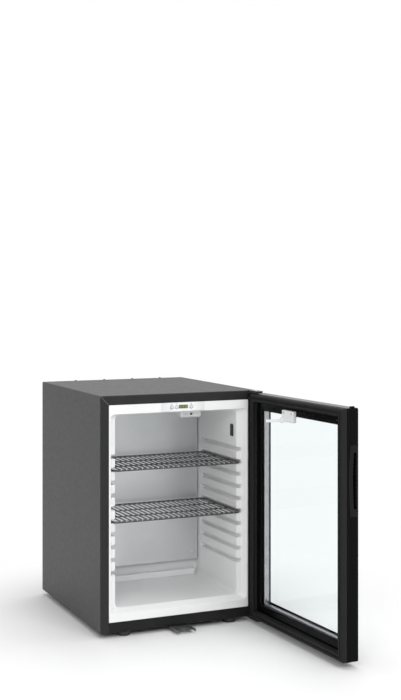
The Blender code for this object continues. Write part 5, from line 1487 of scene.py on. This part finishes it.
def condenser(look):
    """The riser from the boiler with its bend, and square fins along the falling run."""
    low, high, tube, _ = sized("condenser")
    start = sized("boiler_jacket")[2].x
    run, fall, half = high.x - start, look.condenser_fall, look.fin_size / 2
    riser, bend, end, sheet = 0.009, 0.02, 0.05, 0.0006
    top = own_box("outer_casing")[1].z - look.condenser_drop
    path = bent([(start, tube.y, low.z), (start, tube.y, top), (high.x, tube.y, top - fall)],
                bend, 10)
    fins = []
    for k in range(math.floor((run - look.fin_start - end) / look.fin_pitch) * 2 + 1):
        along = look.fin_start + k * look.fin_pitch / 2
        x, z = start + along, top - fall * along / run
        fins.append(block((x, tube.y - half, z - half), (x + sheet, tube.y + half, z + half)))
    piece("condenser_tube", joined([wires([(riser, path)], False, 10)] + fins, SHARP_FINS),
          "condenser", "unit paint")


def absorber(look):
    """The vessel with its domed ends, and the coil that climbs from it."""
    _, high, vessel, size = sized("absorber_vessel")
    r, half, dome, groove, bend = size.y / 2, size.x / 2, 0.012, 0.0006, 0.012
    bead = half - dome
    profile = [(0, half), (r * 0.35, half - dome * 0.05), (r * 0.6, half - dome * 0.2),
               (r * 0.8, half - dome * 0.42), (r * 0.93, half - dome * 0.7), (r, bead),
               (r, bead - 0.004), (r - groove, bead - 0.005), (r - groove, bead - 0.007),
               (r, bead - 0.008)]
    profile += [(a, -h) for a, h in reversed(profile)]
    piece("vessel_drum", turned(profile, vessel, "X", 64), "absorber_vessel", "unit paint")
    start = high.z + look.coil_lift
    low, high = own_box("absorber_coil")
    t, pitch = look.coil_tube, look.coil_pitch
    left, right, front, back = low.x + t, high.x - t, low.y + t, high.y - t
    points = [(vessel.x, vessel.y, low.z), (vessel.x, vessel.y, start - t / 2),
              (vessel.x, back, start)]
    corners = ((right, back), (right, front), (left, front), (left, back)) * look.coil_loops
    points += [(x, y, start + (k + 1) * pitch / 4) for k, (x, y) in enumerate(corners)]
    points.append((vessel.x, points[-1][1], points[-1][2] + pitch / 8))
    piece("coil_tube", wires([(t, bent(points, bend, 8))], False, 8), "absorber_coil",
          "unit paint")


def terminals():
    """The box with its grooves, lid line and screws, and the ribbed gland in its back."""
    low, high = own_box("terminal_box")
    _, far, gland, size = sized("cord_gland")
    count, start, pitch, wide, deep, margin = 5, 0.036, 0.007, 0.0025, 0.0008, 0.008
    neck, lid, line_wide, line_deep = 0.005, 0.012, 0.0008, 0.0004
    cuts = [block((low.x + margin, high.y - deep, z), (high.x - margin, high.y + OUT, z + wide))
            for z in (low.z + start + k * pitch for k in range(count))]
    cuts.append(rod(neck + FIT, 0.02, (gland.x, high.y, gland.z), "Y", 32))
    cuts.append(block((low.x - 0.0001, low.y + lid, low.z),
                      (low.x + line_deep, low.y + lid + line_wide, high.z)))
    piece("terminal_case", carved(block(low, high, 0.0022, 4), *cuts), "terminal_box",
          "dark plastic")
    screws = [screw_head((x, high.y - 0.0002, high.z - 0.007), "Y", *BOX_SCREW)
              for x in (low.x + margin, high.x - margin)]
    detail("terminal_screws", joined(screws), "terminal_box", "bright zinc")
    outer, lip, bore, soft = size.x / 2, 0.010, 0.0035, 0.0016
    profile = [(bore, lip)] + brim(outer, lip, soft)
    for z in (0.0068, 0.0046, 0.0024):
        profile += [(outer, z), (outer - 0.0006, z - 0.0004), (outer - 0.0006, z - 0.0009),
                    (outer, z - 0.0013)]
    profile += [(outer, 0.0), (neck, 0.0), (neck, lip - size.y), (bore, lip - size.y)]
    piece("gland_boot", turned(profile, (gland.x, far.y - lip, gland.z), "Y", 40),
          "cord_gland", "seal rubber")


class MINIBAR_OT_unit(bpy.types.Operator):
    """Boiler can, finned condenser, absorber coil and vessel, box and rails at the back"""
    bl_idname = "minibar.unit"
    bl_label = "Cooling unit"

    def execute(self, context):
        look = context.scene.minibar_unit
        boiler()
        condenser(look)
        absorber(look)
        _, _, tube, size = sized("heat_exchanger_tube")
        piece("exchanger_tube", rod(size.z / 2, size.x, tube, "X", 40, 0.0004),
              "heat_exchanger_tube", "unit paint")
        terminals()
        for node in ("upper_support_rail", "lower_support_rail"):
            piece(f"{node}_channel", softened(node, 0.0004), node, "zinc sheet")
        return {"FINISHED"}


CARRIED = {"rear_panel": "zinc sheet", "insulation_foam": "yellow foam",
           "drain_tube": "white plastic", "evaporator_tube": "rolled aluminium",
           "heater_cartridge": "bright zinc"}


class MINIBAR_OT_carried(bpy.types.Operator):
    """Finishes for the CAD pieces that keep their own shape"""
    bl_idname = "minibar.carried"
    bl_label = "Carried pieces"

    def execute(self, context):
        for node, name in CARRIED.items():
            data = frame["nodes"][node].data
            data.materials.clear()
            data.materials.append(material(name))
        return {"FINISHED"}


# The stage.

FLOOR_HALF = 12.0
SENSOR_WIDTH = 36.0

# Each lamp's name, place, size and the setting of its power; all face one point.
LAMPS = (("key softbox", (0.7, -3.3, 2.3), 1.6, "key_power"),
         ("left softbox", (-1.9, -2.3, 1.7), 1.2, "fill_power"),
         ("top softbox", (0.2, 0.2, 2.8), 1.8, "top_power"))
AIMED_AT = Vector((0.0, 0.1, 0.3))


class MINIBAR_OT_stage(bpy.types.Operator):
    """Pale floor, soft lamps, white surroundings and the camera"""
    bl_idname = "minibar.stage"
    bl_label = "Stage"

    def execute(self, context):
        scene = context.scene
        look = scene.minibar_stage
        bm = bmesh.new()
        bmesh.ops.create_grid(bm, x_segments=2, y_segments=2, size=FLOOR_HALF)
        mesh = bpy.data.meshes.new("floor")
        bm.to_mesh(mesh)
        bm.free()
        mesh.materials.append(material("studio floor"))
        floor = placed("floor", mesh)
        world = bpy.data.worlds.new("studio")
        world.use_nodes = True
        tree = world.node_tree
        tree.nodes.clear()
        # The surroundings are dim for the object's own light and white for what looks at them.
        dim, bright = (add_node(tree, "ShaderNodeBackground", {}, Color=(1.0, 1.0, 1.0),
                                Strength=level) for level in (look.world_level, 1.0))
        mix = add_node(tree, "ShaderNodeMixShader", {}, seen_by(tree, "Transmission", "Glossy"),
                       dim.outputs[0], bright.outputs[0])
        add_node(tree, "ShaderNodeOutputWorld", {}, mix.outputs[0])
        scene.world = world
        for name, place, size, power in LAMPS:
            data = bpy.data.lights.new(name, "AREA")
            data.size = size
            data.energy = getattr(look, power)
            lamp = placed(name, data)
            lamp.location = place
            lamp.rotation_euler = (AIMED_AT - Vector(place)).to_track_quat("-Z", "Y").to_euler()
        data = bpy.data.cameras.new("camera")
        data.lens = look.lens
        data.sensor_width = SENSOR_WIDTH
        data.shift_x = look.shift_x
        data.shift_y = look.shift_y
        camera = placed("camera", data)
        camera.location = tuple(look.camera_place)
        camera.rotation_euler = (math.pi / 2, 0.0, -look.camera_turn)
        scene.camera = camera
        scene.view_settings.view_transform = "Standard"
        return {"FINISHED"}


# Settings, panel and registration.

def number(name, default, description, **more):
    return bpy.props.FloatProperty(name=name, default=default, description=description, **more)


def length(name, default, description):
    return number(name, default, description, subtype="DISTANCE", unit="LENGTH", precision=5)


def colour(name, default, description):
    return bpy.props.FloatVectorProperty(name=name, default=default, description=description,
                                         subtype="COLOR", size=3, min=0.0, max=1.0)


class MinibarCabinet(bpy.types.PropertyGroup):
    """Sizes and colours of the cabinet"""
    casing_colour: colour("Casing colour", (0.042, 0.042, 0.0425), "Paint of the steel wrap")
    rim_colour: colour("Rim colour", (0.012, 0.012, 0.0125), "Paint of the rim round the opening")
    liner_colour: colour("Liner colour", (0.90, 0.90, 0.90), "Plastic of the inside")
    casing_round: length("Casing fold", 0.0025, "Radius of the folds along the casing")
    sheet: length("Sheet", 0.001, "Thickness of the casing's steel")
    rim_side: length("Side rim", 0.021, "Width of the rim beside the opening")
    rim_top: length("Top rim", 0.022, "Height of the rim over the opening")
    rear_return: length("Rear return", 0.012, "Width of the folded edge at the back")
    wire_pitch: length("Wire pitch", 0.01325, "Distance between the rods of a shelf")


class MinibarDoor(bpy.types.PropertyGroup):
    """Sizes and colours of the door"""
    frame_colour: colour("Frame colour", (0.0042, 0.0042, 0.0045), "Plastic of the door's frame")
    seal_colour: colour("Seal colour", (0.018, 0.018, 0.0185), "Rubber of the door's seal")
    glass_tint: colour("Glass tint", (0.975, 1.0, 1.0), "Colour that the glass lets through")
    edge_round: length("Edge round", 0.0008, "Radius of the frame's outer edges")
    corner_round: length("Corner round", 0.004, "Radius of the door's corners")
    seal_width: length("Seal width", 0.0194, "Width of the seal on the inner face")
    sight_margin: length("Sight margin", 0.0385, "From the door's edge to the clear glass")
    border_width: length("Border width", 0.0134, "Width of the enamel on the outer pane's edge")
    spacer_width: length("Spacer width", 0.0085, "Width of the bar between the panes")
    spacer_hole_pitch: length("Spacer hole pitch", 0.0032, "Distance between its holes")
    spacer_dimple_pitch: length("Spacer dimple pitch", 0.0215, "Distance between its dimples")
    cup_in: length("Cup set-back", 0.0095, "From the flange's edge to the cup")
    cup_width: length("Cup width", 0.0101, "Width of the pull's cup")
    cup_height: length("Cup height", 0.1219, "Height of the pull's cup")
    arm_thick: length("Arm thickness", 0.0097, "Thickness of the lamp switch arm")


class MinibarUnit(bpy.types.PropertyGroup):
    """Sizes of the cooling unit"""
    fin_size: length("Fin size", 0.050, "Side of the condenser's square fins")
    fin_pitch: length("Fin pitch", 0.012, "Distance between every second fin")
    fin_start: length("Fin start", 0.059, "From the riser to the first fin")
    condenser_drop: length("Condenser drop", 0.063, "From the casing's top to the bend")
    condenser_fall: length("Condenser fall", 0.020, "Fall of the condenser along its run")
    coil_tube: length("Coil tube", 0.008, "Radius of the coil's tube")
    coil_pitch: length("Coil pitch", 0.040, "Rise of each loop of the coil")
    coil_lift: length("Coil lift", 0.030, "From the vessel to the first loop")
    coil_loops: bpy.props.IntProperty(name="Coil loops", default=4, min=1,
                                      description="Number of loops in the coil")


class MinibarStage(bpy.types.PropertyGroup):
    """Floor, lamps and camera"""
    floor_colour: colour("Floor colour", (0.96, 0.96, 0.96), "Colour of the studio floor")
    floor_clear: length("Floor clear", 0.42, "Radius round the object before the floor whitens")
    world_level: number("World level", 0.55, "Light from the white surroundings", min=0.0)
    key_power: number("Key power", 40.5, "Power of the softbox in front", unit="POWER")
    fill_power: number("Left power", 19.0, "Power of the softbox at the left", unit="POWER")
    top_power: number("Top power", 32.0, "Power of the softbox overhead", unit="POWER")
    lens: number("Lens", 61.462, "Focal length of the camera", unit="CAMERA")
    shift_x: number("Shift X", 0.03, "Sideways shift of the frame")
    shift_y: number("Shift Y", -0.0936, "Upward shift of the frame")
    camera_place: bpy.props.FloatVectorProperty(
        name="Camera place", default=(-1.1616, -2.6023, 0.8166), subtype="TRANSLATION",
        size=3, precision=5, description="Where the camera stands")
    camera_turn: number("Camera turn", math.radians(23.857), "Turn of the camera to the right",
                        subtype="ANGLE", unit="ROTATION")


GROUPS = {"minibar_cabinet": MinibarCabinet, "minibar_door": MinibarDoor,
          "minibar_unit": MinibarUnit, "minibar_stage": MinibarStage}
OPERATORS = (MINIBAR_OT_stage, MINIBAR_OT_casing, MINIBAR_OT_liner, MINIBAR_OT_controls,
             MINIBAR_OT_lamp, MINIBAR_OT_cold_plate, MINIBAR_OT_shelves, MINIBAR_OT_feet,
             MINIBAR_OT_hinges, MINIBAR_OT_striker, MINIBAR_OT_door_frame, MINIBAR_OT_seal,
             MINIBAR_OT_glass, MINIBAR_OT_pull, MINIBAR_OT_door_fittings, MINIBAR_OT_unit,
             MINIBAR_OT_carried)


class MINIBAR_PT_build(bpy.types.Panel):
    """Lists the steps that build the minibar"""
    bl_idname = "MINIBAR_PT_build"
    bl_label = "Minibar"
    bl_space_type = "VIEW_3D"
    bl_region_type = "UI"
    bl_category = "Minibar"

    def draw(self, context):
        for step in OPERATORS:
            self.layout.operator(step.bl_idname)


def register():
    for group in GROUPS.values():
        bpy.utils.register_class(group)
    for name, group in GROUPS.items():
        setattr(bpy.types.Scene, name, bpy.props.PointerProperty(type=group))
    for step in OPERATORS:
        bpy.utils.register_class(step)
    bpy.utils.register_class(MINIBAR_PT_build)


def unregister():
    bpy.utils.unregister_class(MINIBAR_PT_build)
    for step in reversed(OPERATORS):
        bpy.utils.unregister_class(step)
    for name in GROUPS:
        delattr(bpy.types.Scene, name)
    for group in reversed(GROUPS.values()):
        bpy.utils.unregister_class(group)


def main():
    register()
    for step in OPERATORS:
        section, name = step.bl_idname.split(".")
        getattr(getattr(bpy.ops, section), name)()


if __name__ == "__main__":
    main()
